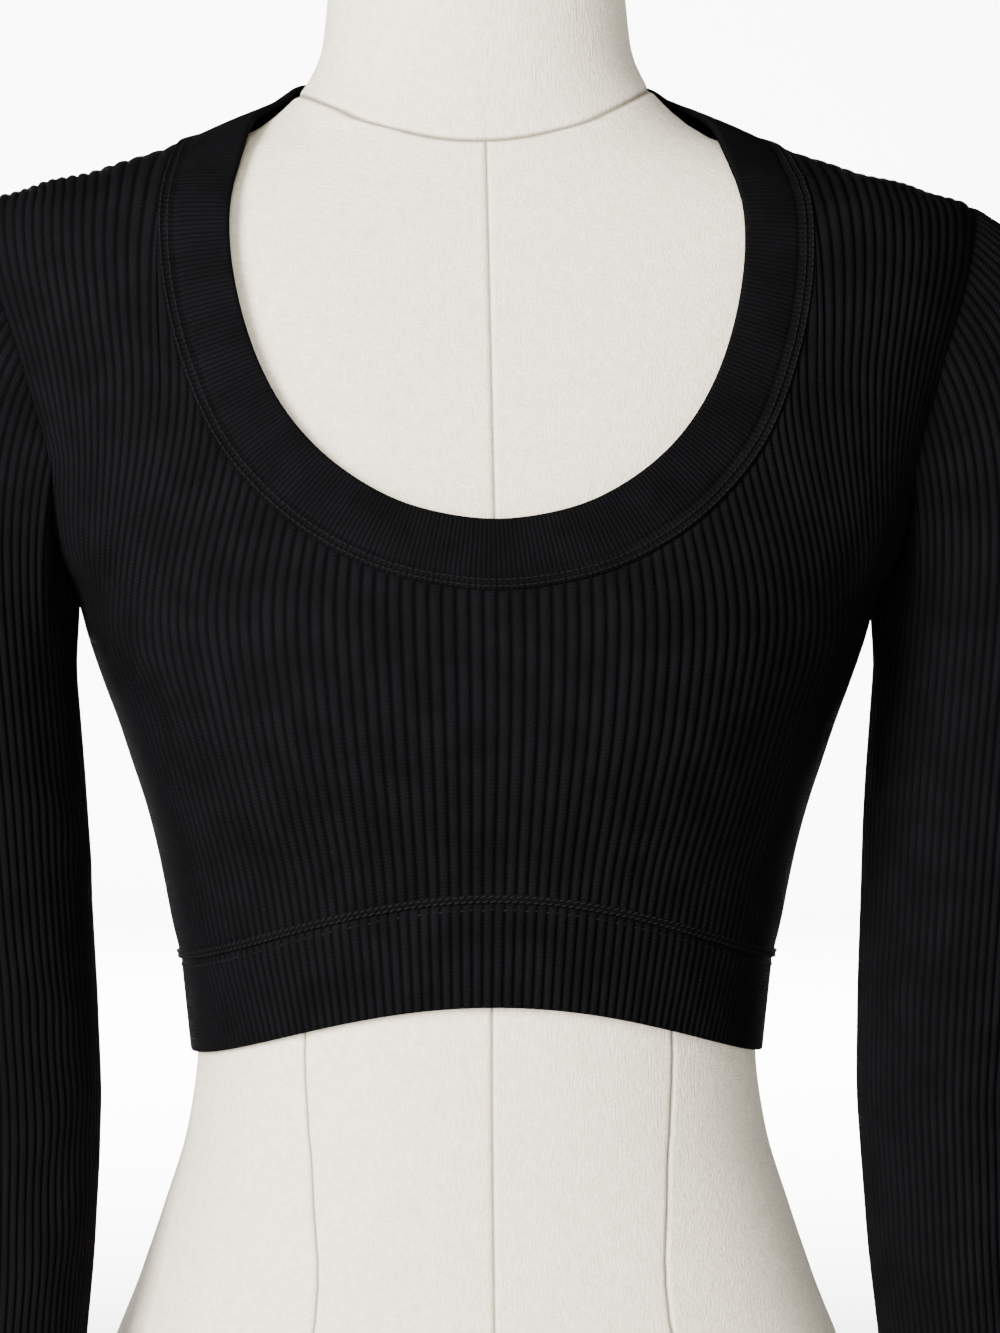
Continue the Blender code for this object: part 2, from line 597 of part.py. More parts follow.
def sleeve_row(turns, place, starts):
    """One row of the sleeve: places 0 to 1 lead from the armhole to the top ring, 1 to 2 on to the cuff."""
    if place >= 1:
        return sleeve_ring(turns, SLEEVE_TOP_RING_Z + (CUFF_Z - SLEEVE_TOP_RING_Z) * (place - 1))
    ends = sleeve_ring(turns, SLEEVE_TOP_RING_Z)
    chord = np.linalg.norm(ends - starts, axis=-1, keepdims=True)
    small = 0.001
    down = unit(sleeve_ring(turns, SLEEVE_TOP_RING_Z - small) - ends) * chord
    leave = sleeve_leave(turns) * chord
    t = place
    blend = ((1 + 2 * t) * (1 - t) ** 2) * starts + (t * (1 - t) ** 2) * leave
    return blend + (t * t * (3 - 2 * t)) * ends + (t * t * (t - 1)) * down


def sleeve_leave(turns):
    """Direction in which the sleeve leaves the armhole: outwards at the shoulder, down at the underarm."""
    top = np.sqrt((1 + np.cos(turns)) / 2)
    return unit(np.stack([-0.05 + 0.95 * top, -0.12 * np.sin(turns), -1 + 0.6 * top], axis=-1))


def sleeve_normals(turns, place, starts_at):
    """Outward normals of a sleeve row, from rows and turns close by."""
    small = 0.01
    near = starts_at(turns)
    across = sleeve_row(turns + small, place, starts_at(turns + small)) - sleeve_row(
        turns - small, place, starts_at(turns - small)
    )
    low, high = max(place - small, 0), min(place + small, 2)
    down = sleeve_row(turns, high, near) - sleeve_row(turns, low, near)
    return unit(np.cross(across, down))


def sleeve_grids(turns, places):
    """Base points and normals of the +X sleeve."""
    seam = armhole_points(turns)
    first = sleeve_normals(turns, 0.0, armhole_points)
    panel = outward(CLOTH_SECTIONS, seam)
    # At the underarm panel and sleeve lie face to face, so the sleeve starts two walls further out.
    spread = (VALLEY_WALL + RIB_RISE) * (panel - first)
    leave = sleeve_leave(turns)
    under = 1 - ease(*FACE_TO_FACE_Z, seam[:, 2:])
    apart = leave * np.maximum(np.sum(spread * leave, axis=-1, keepdims=True), 0)
    starts = seam + under * spread + (1 - under) * apart + leave * 2 * SEAM_GAP
    base = []
    normals = []
    for place in places:
        base.append(sleeve_row(turns, place, starts))
        normals.append(sleeve_normals(turns, place, armhole_points))
    return np.stack(base), np.stack(normals)


def build_sleeve(name, hand, material):
    """A long set-in sleeve, hand 1 on the +X side and -1 on the other."""
    count = 2 * SLEEVE_RIBS
    turns = 2 * math.pi * np.arange(count) / count
    base, normals = sleeve_grids(turns, SLEEVE_PLACES)
    if hand < 0:
        base = np.roll(base[:, ::-1], 1, axis=1) * np.array([-1, 1, 1])
        normals = np.roll(normals[:, ::-1], 1, axis=1) * np.array([-1, 1, 1])
    picks = list(range(0, count, SLEEVE_INNER_STEP))
    inner = inner_face(base, normals, picks, True)
    verts, faces = wall_mesh(ribbed(base, normals), inner, picks, True)
    return make_object(name, verts, faces, material)


def build_dress_form(material):
    """The solid torso: rings from the flat base to the neck stump's flat top."""
    turns = 2 * math.pi * np.arange(FORM_COLUMNS) / FORM_COLUMNS
    verts = []
    for level in FORM_LEVELS:
        half, front, back, power = section(FORM_SECTIONS, level * CM)
        for turn in turns:
            c, s = math.cos(turn), math.sin(turn)
            x = math.copysign(half * abs(c) ** (2 / power), c)
            reach = back if s > 0 else front + bust_rise(x, level * CM)
            verts.append((x, math.copysign(reach * abs(s) ** (2 / power), s), level * CM))
    faces = []
    for row in range(len(FORM_LEVELS) - 1):
        for c in range(FORM_COLUMNS):
            after = (c + 1) % FORM_COLUMNS
            low, high = row * FORM_COLUMNS, (row + 1) * FORM_COLUMNS
            faces.append((low + c, low + after, high + after, high + c))
    faces.append(tuple(range(FORM_COLUMNS))[::-1])
    top = (len(FORM_LEVELS) - 1) * FORM_COLUMNS
    faces.append(tuple(range(top, top + FORM_COLUMNS)))
    return make_object("dress_form", verts, faces, material)


def build():
    clear_scene()
    knit = plain_material("rib_knit", RIB_KNIT_COLOUR, 0.9)
    band = plain_material("band_knit", BAND_KNIT_COLOUR, 0.9)
    linen = plain_material("form_linen", FORM_LINEN_COLOUR, 0.85)
    build_panel("front", -1, knit)
    build_panel("back", 1, knit)
    build_sleeve("sleeve_right", 1, knit)
    build_sleeve("sleeve_left", -1, knit)
    build_neckband(band)
    build_hem_band(knit)
    build_dress_form(linen)


build()
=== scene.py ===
"""Looks of the ribbed crop top and of the linen dress form that it is worn on.

Metres, +Z up, the front faces -Y. The cloth is laid out on the same sections as its solids: every piece
is a thin wall whose outer face carries the ribs, the pressed seams and the creases.
"""

import math

import bpy
import numpy as np
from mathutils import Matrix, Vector


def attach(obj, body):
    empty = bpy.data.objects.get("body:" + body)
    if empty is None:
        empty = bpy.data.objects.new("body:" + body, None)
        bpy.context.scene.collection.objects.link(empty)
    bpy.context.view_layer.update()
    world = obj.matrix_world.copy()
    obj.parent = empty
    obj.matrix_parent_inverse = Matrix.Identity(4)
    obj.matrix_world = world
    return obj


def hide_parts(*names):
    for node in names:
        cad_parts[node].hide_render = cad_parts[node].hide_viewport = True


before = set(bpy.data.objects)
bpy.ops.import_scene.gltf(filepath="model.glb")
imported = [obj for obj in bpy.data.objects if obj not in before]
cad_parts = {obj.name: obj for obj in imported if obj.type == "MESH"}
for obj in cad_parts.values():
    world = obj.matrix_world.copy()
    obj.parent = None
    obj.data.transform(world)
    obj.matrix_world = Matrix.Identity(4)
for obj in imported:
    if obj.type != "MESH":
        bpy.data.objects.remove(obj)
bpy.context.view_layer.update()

CM = 0.01
MM = 0.001

# A side is -1 on the front, 1 on the back, and 0 where it doesn't matter.
MIRROR = np.array([-1, 1, 1])

# Points along a curve where it is measured or read, and along the shoulder seam.
FINE = 240
SHOULDER_POINTS = 200
# Steps over which slopes are taken, and a length too short to matter.
SLOPE_STEP = 0.0004
SLEEVE_STEP = 0.01
HAIR = 1e-6
# Rounds that bring a point onto a surface, the hem's curve and a rib's path.
SURFACE_ROUNDS, HEM_ROUNDS, PATH_ROUNDS = 6, 4, 8

# Walls: thickness in a rib's valley and of the neckband, and the gap between two of them.
VALLEY_WALL = 0.0013
BAND_WALL = 0.0021
SEAM_GAP = 0.0003
RIB_RISE = 0.0011
RIB_ROUNDNESS = 2.4
# Edges turn in over this width to this share of the thickness; seams press the ribs flat over the next.
EDGE_ROUND = 0.0013
EDGE_SHARE = 0.6
PRESSED = 0.0035
# How far each wall stands out from a seam where two lie face to face.
SEAM_SPREAD = 0.0008
# How far front and back reach over the shoulder seam's middle, where a rib ends this close to it.
SHOULDER_LAP = 0.0008
SHOULDER_REACH = 0.0025

# Ribs and the points across each: front and back have the same number.
PANEL_RIBS = 98
PANEL_POINTS = 8
PANEL_COLUMNS = PANEL_RIBS * PANEL_POINTS
SLEEVE_RIBS = 80
SLEEVE_POINTS = 6

# Levels, in metres above the floor.
UNDERARM_Z = 0.454
SHOULDER_TIP_Z = 0.6025
SLEEVE_TOP_Z = 0.420
CUFF_Z = 0.035
# The shoulder ridge falls from the root of the neck to this level beyond the shoulder tip.
NECK_ROOT_Z = 0.645
RIDGE_START_Z = 0.590
# Between these levels the armhole's panel and sleeve turn from face to face to edge to edge.
FACE_TO_FACE_Z = (0.480, 0.540)

# The hem and the seam above its band: level at the side, and rise at the centre front and back.
HEM = (0.279, {-1: 0.0203, 1: 0.0060})
HEM_SEAM = (0.3148, {-1: 0.0244, 1: 0.0110})
HEM_CURVE_POWER = 1.3

# The bust is two soft mounds, and the cloth between them falls back by the share named bridge.
BUST = {"x": 0.070, "z": 0.408, "wide": 0.048, "high": 0.052, "rise": 0.008, "bridge": 0.4}

# The rib place that ends at the corner of neckline and shoulder seam, and the last one that runs
# straight up into the neckline. The ribs between bend towards the neck as they roll over the shoulder.
CORNER_PLACE = 33 / 49
STRAIGHT_PLACE = {-1: 0.55, 1: 0.30}
STRAIGHT_SHARES = [0.4, 0.7, 1.0]
NECK_BEND, STRAP_BEND = 2.2, 3.0
# The front's rib place that meets the neckline at this level, on the strap.
STRAP_ENTRY = {"place": 0.635, "z": 0.558}

# Level, at the centre, of the guide line where a panel's lower rows of points end.
GUIDE_Z = 0.400

# How much closer the ribs lie at a panel's edge than at its centre, by level in centimetres.
RIB_CROWD = {"z": [30, 44.5, 53, 57, 60], "crowd": [0.17, 0.17, 0.14, 0.08, 0]}

# Levels, in centimetres, at which the ribs' places are laid out.
COURSE_LEVELS = [30.0, 32.5, 35.0, 37.5, 41.0, 44.5, 53.0, 56.0, 59.0, 60.25]
CHEST_LEVEL = 53.0
STRAP_SPREAD_POWER = 4
EDGE_PULL_POWER = 8

# Inner face of the cloth, in centimetres: level, half width, depth to front and back, and the power of
# the section's superellipse.
CLOTH = {
    "z": [26.5, 29.8, 31.4, 32.9, 34.4, 36, 37.5, 39, 40.6, 42.1, 43.7, 45.4, 47, 50.7, 53.9, 57.5, 59,
        59.8, 60.25, 60.6, 61, 61.3, 61.7, 62.15, 62.75, 63.4, 63.75, 64.1, 64.5, 65.5, 67],
    "half": [10.84, 10.86, 11.2, 11.57, 11.86, 12.2, 12.6, 13.1, 13.63, 14.2, 14.75, 15.25, 16.2, 17.45,
        18.4, 19.2, 19.35, 19.2, 18.75, 17.5, 16.4, 14.9, 13.7, 12.2, 10.7, 9.1, 8.3, 7.6, 7.1, 6.9, 6.8],
    "front": [8.8, 8.8, 9, 9.3, 9.65, 10.1, 10.6, 11, 11.3, 11.4, 11.3, 11, 10.55, 9.45, 8.45, 7.3, 6.8,
        6.5, 6.3, 6.15, 6, 5.9, 5.8, 5.7, 5.6, 5.5, 5.45, 5.4, 5.35, 5.3, 5.2],
    "back": [7.7, 7.5, 7.55, 7.65, 7.8, 8, 8.25, 8.5, 8.75, 8.95, 9.15, 9.3, 9.4, 9.4, 9.2, 8.4, 7.8,
        7.35, 7.1, 6.9, 6.75, 6.65, 6.55, 6.4, 6.25, 6.15, 6.1, 6.05, 6, 5.9, 5.8],
    "power": [2.2, 2.2, 2.2, 2.2, 2.2, 2.25, 2.3, 2.3, 2.35, 2.35, 2.4, 2.45, 2.5, 2.6, 2.65, 2.6, 2.5,
        2.45, 2.4, 2.35, 2.3, 2.3, 2.25, 2.25, 2.2, 2.2, 2.2, 2.2, 2.2, 2.2, 2.2],
}

# The dress form, with the same columns.
FORM = {
    "z": [0, 3, 7, 11.5, 15.5, 19.2, 22, 25, 27.8, 30, 33.7, 37.5, 40.6, 43.7, 47, 50.7, 53.9, 57.5, 59,
        59.8, 60.4, 60.8, 61.2, 61.7, 62.1, 62.5, 62.9, 63.5, 64.3, 65, 66.3, 68, 69, 69.4],
    "half": [13.2, 14.1, 14.7, 14.9, 14.3, 12.95, 12, 11.1, 10.72, 10.67, 11.38, 12.25, 13.3, 14.4, 15.4,
        16.4, 17.2, 18, 18.1, 17.7, 16.8, 15.7, 14.4, 12.8, 11.5, 10.2, 9, 8, 7.1, 6.5, 5.95, 5.75, 5.65,
        5.2],
    "front": [10.2, 10.7, 10.9, 10.9, 10.4, 9.7, 9.2, 8.8, 8.6, 8.6, 9.2, 10.2, 10.9, 10.95, 10.2, 9.1,
        8.1, 6.95, 6.45, 6.15, 5.95, 5.8, 5.65, 5.5, 5.4, 5.3, 5.2, 5.1, 5, 4.95, 4.9, 4.85, 4.8, 4.35],
    "back": [10.6, 11.4, 11.9, 12, 11.3, 10.1, 9, 7.95, 7.45, 7.3, 7.4, 7.9, 8.4, 8.8, 9.05, 9.05, 8.85,
        8.05, 7.45, 7, 6.7, 6.5, 6.35, 6.15, 6, 5.85, 5.75, 5.65, 5.5, 5.4, 5.2, 5.05, 5, 4.5],
    "power": [2.3, 2.3, 2.3, 2.3, 2.3, 2.3, 2.25, 2.2, 2.2, 2.2, 2.25, 2.25, 2.25, 2.25, 2.3, 2.4, 2.4,
        2.3, 2.2, 2.15, 2.1, 2.1, 2.05, 2.05, 2.05, 2.05, 2.05, 2.1, 2.1, 2.1, 2.1, 2, 2, 2],
}

# The armhole seam in centimetres: level, and how far it lies before and behind the shoulder plane.
ARMHOLE = {
    "z": [45.4, 46, 47, 48, 49, 50.7, 53.9, 57.5, 59, 59.8, 60.1, 60.25],
    -1: [0, 0.78, 1.9, 2.9, 3.7, 4.5, 4.1, 3, 2.4, 1.8, 1.2, 0],
    1: [0, 0.75, 1.75, 2.65, 3.4, 4.05, 4.1, 3.2, 2.6, 1.9, 1.2, 0],
}

# The neckline in centimetres, from the centre front over the shoulder to the centre back: the band's
# seam and its free edge, and the side of each point, which is 0 on the shoulder ridge.
NECK_SIDES = [-1] * 11 + [0] + [1] * 4
NECK_SEAM = {
    "x": [0, 3.4, 6.5, 8.9, 10.4, 11.3, 11.9, 12.25, 12.35, 12.25, 11.8, 11.1, 9.6, 7.6, 4.5, 0],
    "z": [45.5, 45.95, 47.3, 49.3, 51.3, 53.4, 55.4, 57.4, 58.9, 60.4, 61.6, 62.6, 62.95, 63, 63, 63],
}
NECK_EDGE = {
    "x": [0, 2.9, 5.3, 7.05, 8.1, 8.8, 9.3, 9.6, 9.75, 9.65, 9.2, 7.75, 6.9, 5.4, 3, 0],
    "z": [48.1, 48.55, 49.75, 51.3, 52.8, 54.3, 55.9, 57.4, 58.9, 60.4, 61.8, 64.05, 64.7, 65.2, 65.4,
        65.5],
}

# The sleeve below its top ring, in centimetres: level, centre, and half width across and front to back.
SLEEVE = {
    "z": [3.5, 11.5, 17.5, 21.5, 25.5, 29.5, 33.5, 37.5, 42],
    "x": [19.3, 19.1, 18.75, 18.6, 18.6, 18.85, 19.2, 19.55, 20],
    "y": [-6, -5.2, -4.2, -3.4, -2.5, -1.6, -0.9, -0.4, -0.1],
    "across": [2.95, 3.2, 3.48, 3.68, 3.88, 4.05, 4.2, 4.35, 4.45],
    "deep": [3.05, 3.3, 3.6, 3.8, 4, 4.2, 4.4, 4.6, 4.75],
}

# How much higher a sleeve rib starts on the armhole, as a turn, and the direction in which it leaves:
# outwards and down at the underarm, with what is added at the shoulder, and to the front or back.
CAP_RISE = 0.60
CAP_FALL = 0.75
CAP_LEAVE = {"out": (-0.05, 0.95), "down": (-1, 0.6), "front": 0.12}

# Rows of points: along a panel below and above its guide line, the hem band, the sleeve's cap and arm.
LOWER_ROWS, UPPER_ROWS, HEM_ROWS, CAP_ROWS, ARM_ROWS = 26, 46, 14, 26, 100
# Close rows beside an edge, and how much further off the next row has to be.
CLOSE_ROWS = [0.0025, 0.006, 0.012, 0.02, 0.032]
CLOSE_CLEAR = 1.4
CREASE_POINTS = 14

# The neckband: its fine ribs, rows from seam to edge, and the flat stitched strip beside the seam.
BAND_RIBS = 440
BAND_POINTS = 4
BAND_ROWS = [
    0, 0.012, 0.028, 0.045, 0.062, 0.08, 0.098, 0.115, 0.132, 0.15, 0.168, 0.187, 0.207, 0.228,
    0.25, 0.275, 0.31, 0.36, 0.43, 0.52, 0.61, 0.7, 0.79, 0.87, 0.92, 0.955, 0.98, 1,
]
BAND_STRIP = 0.0056
BAND_STRIP_FADE = 0.0025
BAND_LAP = 0.0006
# Share of the band's width over which it turns from the cloth's slope to its own.
BAND_TURN = 0.3
# Points round each edge, and a length greater than from the band's middle to either edge.
BAND_FINE = FINE * 16
BAND_REACH = 0.030
NECK_ROUNDING = 0.008
BAND_RIB_RISE = 0.0004
# Raised lines along the strip: distance from the seam, half width and rise of each, in millimetres.
BAND_RIDGES = [(1.1, 0.9, 1.0), (3.9, 0.9, 0.55), (6.4, 0.7, -0.45)]
BAND_CROWN = 0.0005
# The band's ribs lie flatter over the shoulders than at the front and back.
BAND_RIBS_SHOW = {"z": [44, 50, 54, 61, 63.5, 66], "share": [1, 1, 0.5, 0.4, 0.8, 1]}
BAND_STITCHES_AT = [0.0012, 0.0039]

# The strip over the hem seam, and the lines of stitches there: height above the seam and rise over the
# cloth of each row, in millimetres.
STRIP_ROWS = [
    (-0.2, 0.2), (0.1, 0.65), (0.6, 0.95), (1.3, 1.1), (2.1, 1.1), (2.8, 0.95), (3.3, 0.65), (3.5, 0.1),
]
STRIP_STITCHES = [(-2.6, 0.5), (0.8, 1.0), (2.7, 1.0)]
STRIP_DEPTH = 0.0009
# Painted shade on the strip: its colour darkens as at this share across a rib towards its valley.
STRIP_PAINTED_SHADE = 0.7
# How far the band's upper edge lies under the strip, and how its ribs lean in at the lower edge.
HEM_LAP = 0.0003
HEM_LEAN = 0.065
# The ribs fade out towards the side seams, below these levels.
CALM_SIDE = {"wide": (0.009, 0.022), "share": 0.88, "z": (0.50, 0.57)}

# Stitches: pitch, length, radius and lean.
NECK_STITCH = [0.0026, 0.0021, 0.00026, 0.0]
HEM_STITCH = [0.0027, 0.0023, 0.00033, 0.35]
# Each is a drop: sides, place and size of its rings, flatness, and lift as a share of its radius.
DROP = {
    "sides": 6, "rings": [(-0.5, 0.35), (-0.3, 0.9), (0, 1), (0.3, 0.9), (0.5, 0.35)],
    "flat": 0.8, "lift": 0.35,
}

# Creases: place and level at the start and at the end, in centimetres (on a sleeve the place is
# a turn in degrees, 0 outside and 90 in front), then rise, less than 0 for a trough, and half width, both
# in millimetres. Sleeve 1 is on the +X side.
PANEL_CREASES = {
    -1: [
        (-14.2, 44.6, -10.5, 41, 1.2, 9), (-13.4, 42, -9.8, 37.6, -0.9, 8),
        (14.3, 44.4, 10.2, 41.4, 1, 9), (13.2, 41.5, 9.6, 37, -0.8, 8), (-16, 49.5, -14, 45, 0.9, 7),
        (15.8, 50, 13.8, 45.5, 0.8, 7),
    ],
    1: [
        (-14.4, 44.9, -10, 41.6, 1.1, 9), (14.2, 44.2, 10.8, 40.6, 1, 9.5),
        (-13, 41.2, -9.2, 36.8, -0.9, 8), (12.4, 40.4, 9, 36.4, -0.8, 8),
        (-15.8, 50.2, -13.6, 45.6, 0.8, 7),
    ],
}
SLEEVE_CREASES = {
    1: [
        (160, 31.5, 95, 28, 1.1, 9), (45, 28, 110, 24.5, -1, 9), (150, 21, 80, 18, 1, 9),
        (30, 17, 95, 14, -0.8, 8), (210, 29, 285, 26.5, 1.3, 9), (260, 23, 335, 20, 1.1, 9),
        (310, 34, 240, 31.5, -1, 9),
    ],
    -1: [
        (150, 27.5, 70, 22, 1.8, 9), (165, 24, 75, 17, 2, 10), (140, 19, 60, 12, 1.7, 9),
        (60, 32, 150, 29, 1.4, 10), (30, 24, 110, 20.5, -1.3, 8), (200, 30, 280, 26, 1.6, 10),
        (250, 24.5, 330, 20, 1.4, 9), (300, 33, 230, 29.5, -1.3, 9), (120, 38, 175, 35, 1.2, 9),
    ],
}

# The form's cover: rings, points round each and between two seams, close points beside a seam in
# millimetres, the princess seams' share of the half width, how far seams show, and their grooves.
FORM_RINGS = 150
FORM_FINE = 1440
GAP_COLUMNS = 24
SEAM_COLUMNS = [0.0, 0.5, 1.0, 1.6, 2.4, 3.6, 5.5]
PRINCESS = {
    "z": [0, 18, 28.5, 40, 47, 69.4],
    "share": [0.48, 0.5, 0.65, 0.62, 0.62, 0.62],
    "strength": [1, 1, 1, 1, 0, 0],
}
CENTRE = {"z": [0, 64.65, 64.95, 69.4], "strength": [1, 1, 0, 0]}
GROOVE = {
    "deep": 0.0009, "wide": 0.0010, "dark": 0.0007, "puff": 0.25, "puff_at": 0.0026, "puff_wide": 0.0014,
}
NECK_SEAM_Z = 0.6465
LEAN = {"dip": 0.0240, "reach": 0.024, "radius": 0.052, "roll": 0.035}

# Looks. A noise is its scale and detail; ends are the range of a value and the range that it becomes.
KNIT = {
    # The knit's colour runs from light on a rib's top to dark in its valleys: painted shade between the
    # ribs.
    "dark": (0.0016, 0.0016, 0.0017, 1), "light": (0.0045, 0.0043, 0.0049, 1),
    "stitch": 1.5, "lean": 0.9, "relief": 0.10, "fuzz": 0.10, "bump_depth": 0.001,
    "fibre_noise": (2600.0, 3.0), "patch_noise": (60.0, 2.0), "patch_ends": (0.35, 0.65, 0.6, 1.0),
    "painted_valley_shade_ends": (0.45, 1.0, 1.0, 0.0),
    "surface": {
        "Roughness": 0.75, "Specular IOR Level": 0.004, "Sheen Weight": 0.003, "Sheen Roughness": 0.5,
        "Sheen Tint": (0.55, 0.55, 0.60, 1),
    },
}
# The neckband's knit has the same painted shade in its valleys.
BAND_KNIT = dict(KNIT, stitch=1.1, relief=0.07)
LINEN = {
    "light": (0.93, 0.85, 0.67, 1), "dark": (0.80, 0.71, 0.53, 1), "seam": (0.13, 0.10, 0.06, 1),
    "bump": 0.6, "bump_depth": 0.0006, "seam_sink": 0.6, "seam_ends": (0.2, 1.0, 0.0, 0.9),
    "thread_noise": (1500.0, 1.0), "threads": ((1.0, 1.0, 0.16), (0.2, 0.2, 1.0)),
    "slub_noise": (260.0, 3.0), "slub_ends": (1.2, 1.8, 0.0, 1.0),
    "surface": {"Roughness": 0.88, "Specular IOR Level": 0.25, "Sheen Weight": 0.12},
}
THREAD = {"Base Color": (0.0085, 0.0083, 0.0088, 1), "Roughness": 0.7, "Specular IOR Level": 0.01}

# Studio.
STUDIO_PAPER = {"Base Color": (0.93, 0.93, 0.93, 1), "Roughness": 0.9}
STUDIO = {"reach": 9.0, "back": 9.0, "height": 3.0, "radius": 1.0, "bend_points": 24}
WORLD = {"Color": (1, 1, 1, 1), "Strength": 0.20}
LIGHTS = [
    ("left", (-2.0, -2.3, 1.3), (0, 0, 0.40), (1.2, 1.8), 320.0, 180),
    ("fill", (-0.3, -3.4, 1.2), (0, 0, 0.40), (1.0, 1.0), 38.0, 180),
    ("top", (-0.3, -2.0, 2.5), (0, 0, 0.4), (1.6, 1.0), 26.0, 180),
    ("floor", (0, 2.6, 3.0), (0, 4.4, 0), (5.0, 2.0), 1050.0, 120),
    ("paper", (0, 5.4, 3.2), (0, 7.6, 0), (6.0, 3.0), 1120.0, 130),
]
CAMERA = {
    "azimuth": -4.0, "height": 0.5, "distance": 3.0, "aim": (0.009, 0.0, 0.426),
    "lens": 210.6, "sensor": 36.0, "clip_end": 20,
}


def smooth(places, values, at):
    """Reads a table along a smooth curve that never overshoots."""
    places = np.asarray(places, float)
    values = np.asarray(values, float)
    steps = np.diff(places)
    slopes = np.diff(values) / steps
    tangents = np.concatenate([slopes[:1], np.zeros(len(slopes) - 1), slopes[-1:]])
    same = slopes[1:] * slopes[:-1] > 0
    mean = 2 * slopes[1:] * slopes[:-1] / np.where(same, slopes[1:] + slopes[:-1], 1)
    tangents[1:-1] = np.where(same, mean, 0)
    at = np.clip(np.asarray(at, float), places[0], places[-1])
    i = np.clip(np.searchsorted(places, at, side="right") - 1, 0, len(steps) - 1)
    t = (at - places[i]) / steps[i]
    start = (1 + 2 * t) * (1 - t) ** 2 * values[i] + t * (1 - t) ** 2 * steps[i] * tangents[i]
    end = t * t * (3 - 2 * t) * values[i + 1] + t * t * (t - 1) * steps[i] * tangents[i + 1]
    return start + end


def ease(low, high, at):
    """0 below low, 1 above high, smooth between."""
    t = np.clip((np.asarray(at, float) - low) / (high - low), 0, 1)
    return t * t * (3 - 2 * t)


def unit(vectors):
    return vectors / np.linalg.norm(vectors, axis=-1, keepdims=True)


def bell(distance, wide):
    """1 in the middle and less to the sides, where wide is the half width."""
    return np.exp(-((distance / wide) ** 2))


def read(table, name, z):
    """A column of a table at the levels z, which are in metres."""
    return smooth(table["z"], table[name], np.asarray(z, float) / CM)


def xyz(x, y, z):
    return np.stack([x, y, z], axis=-1)


def closed(line):
    """The line with its first point once more at its end."""
    return np.vstack([line, line[:1]])


def lengths(points, axis=0):
    """Length of the way to each point of a line, or along an axis of a grid."""
    steps = np.linalg.norm(np.diff(points, axis=axis), axis=-1)
    return np.insert(np.cumsum(steps, axis=axis), 0, 0, axis=axis)


def points_at(path, run, at):
    """Points of a polyline at the lengths at; run is the lengths of its own points."""
    return np.stack([np.interp(at, run, path[:, k]) for k in range(3)], axis=-1)


def along(path, shares):
    """Points of a polyline at shares of its length."""
    run = lengths(path)
    return points_at(path, run, np.asarray(shares) * run[-1])


def section(body, z):
    """Half width, front depth, back depth and power of a body at the levels z, in metres."""
    half, front, back = [read(body, name, z) * CM for name in ("half", "front", "back")]
    return half, front, back, read(body, "power", z)


def bust_rise(x, z):
    """How far the cloth stands out over the bust, less where it bridges the middle."""
    past = np.abs(x) - BUST["x"]
    inside = 1 - BUST["bridge"] * np.clip(1 - (x / BUST["x"]) ** 2, 0, 1) ** 2
    rise = np.where(past > 0, bell(np.maximum(past, 0), BUST["wide"]), inside)
    return BUST["rise"] * rise * bell(np.asarray(z) - BUST["z"], BUST["high"])


def depth(body, x, z, side):
    """The y of the body's surface at x and z."""
    half, front, back, power = section(body, z)
    flat = (1 - np.clip(np.abs(x) / half, 0, 1) ** power) ** (1 / power)
    return side * flat * (back if side > 0 else front + bust_rise(x, z))


def on_cloth(x, z, side):
    """Points of the cloth's inner face at x and z."""
    return xyz(x, depth(CLOTH, x, z, side), z)


def surface_level(body, points):
    """1 on the body's surface, less inside, more outside."""
    x, y, z = np.moveaxis(points, -1, 0)
    half, front, back, power = section(body, z)
    reach = np.where(y < 0, front + bust_rise(x, z), back)
    return (np.abs(x) / half) ** power + (np.abs(y) / reach) ** power


def surface_slope(body, points):
    """Slope of surface_level at the points."""
    steps = np.eye(3) * SLOPE_STEP
    slopes = [surface_level(body, points + step) - surface_level(body, points - step) for step in steps]
    return np.stack(slopes, axis=-1) / (2 * SLOPE_STEP)


def outward(body, points):
    """Unit normals of the body's surface at the points."""
    return unit(surface_slope(body, points))


def onto(body, points):
    """The points moved onto the body's surface."""
    for _ in range(SURFACE_ROUNDS):
        slope = surface_slope(body, points)
        off = surface_level(body, points) - 1
        points = points - slope * (off / np.sum(slope**2, axis=-1))[..., None]
    return points


def panel_edge(side, z):
    """Distance from the centre of a panel's side edge: the side seam, and above it the armhole."""
    half, front, back, power = section(CLOTH, np.minimum(z, SHOULDER_TIP_Z))
    y = read(ARMHOLE, side, z) * CM
    reach = front if side < 0 else back
    return np.where(z <= UNDERARM_Z, half, half * (1 - (y / reach) ** power) ** (1 / power))


def rib_crossings(side, w, z):
    """Distances from the centre at which the rib places w cross the level z."""
    half, _, _, power = section(CLOTH, z)
    reach = min(1.0, panel_edge(side, z) / half) ** (power / 2)
    x = half * np.sin(np.linspace(0, math.asin(reach), FINE)) ** (2 / power)
    run = lengths(np.stack([x, depth(CLOTH, x, z, side)], axis=-1))
    # The knit is stretched most over the middle, so the ribs lie closer towards the edge.
    shares = w + read(RIB_CROWD, "crowd", z) * w * (1 - w)
    return np.interp(shares * run[-1], run, x)


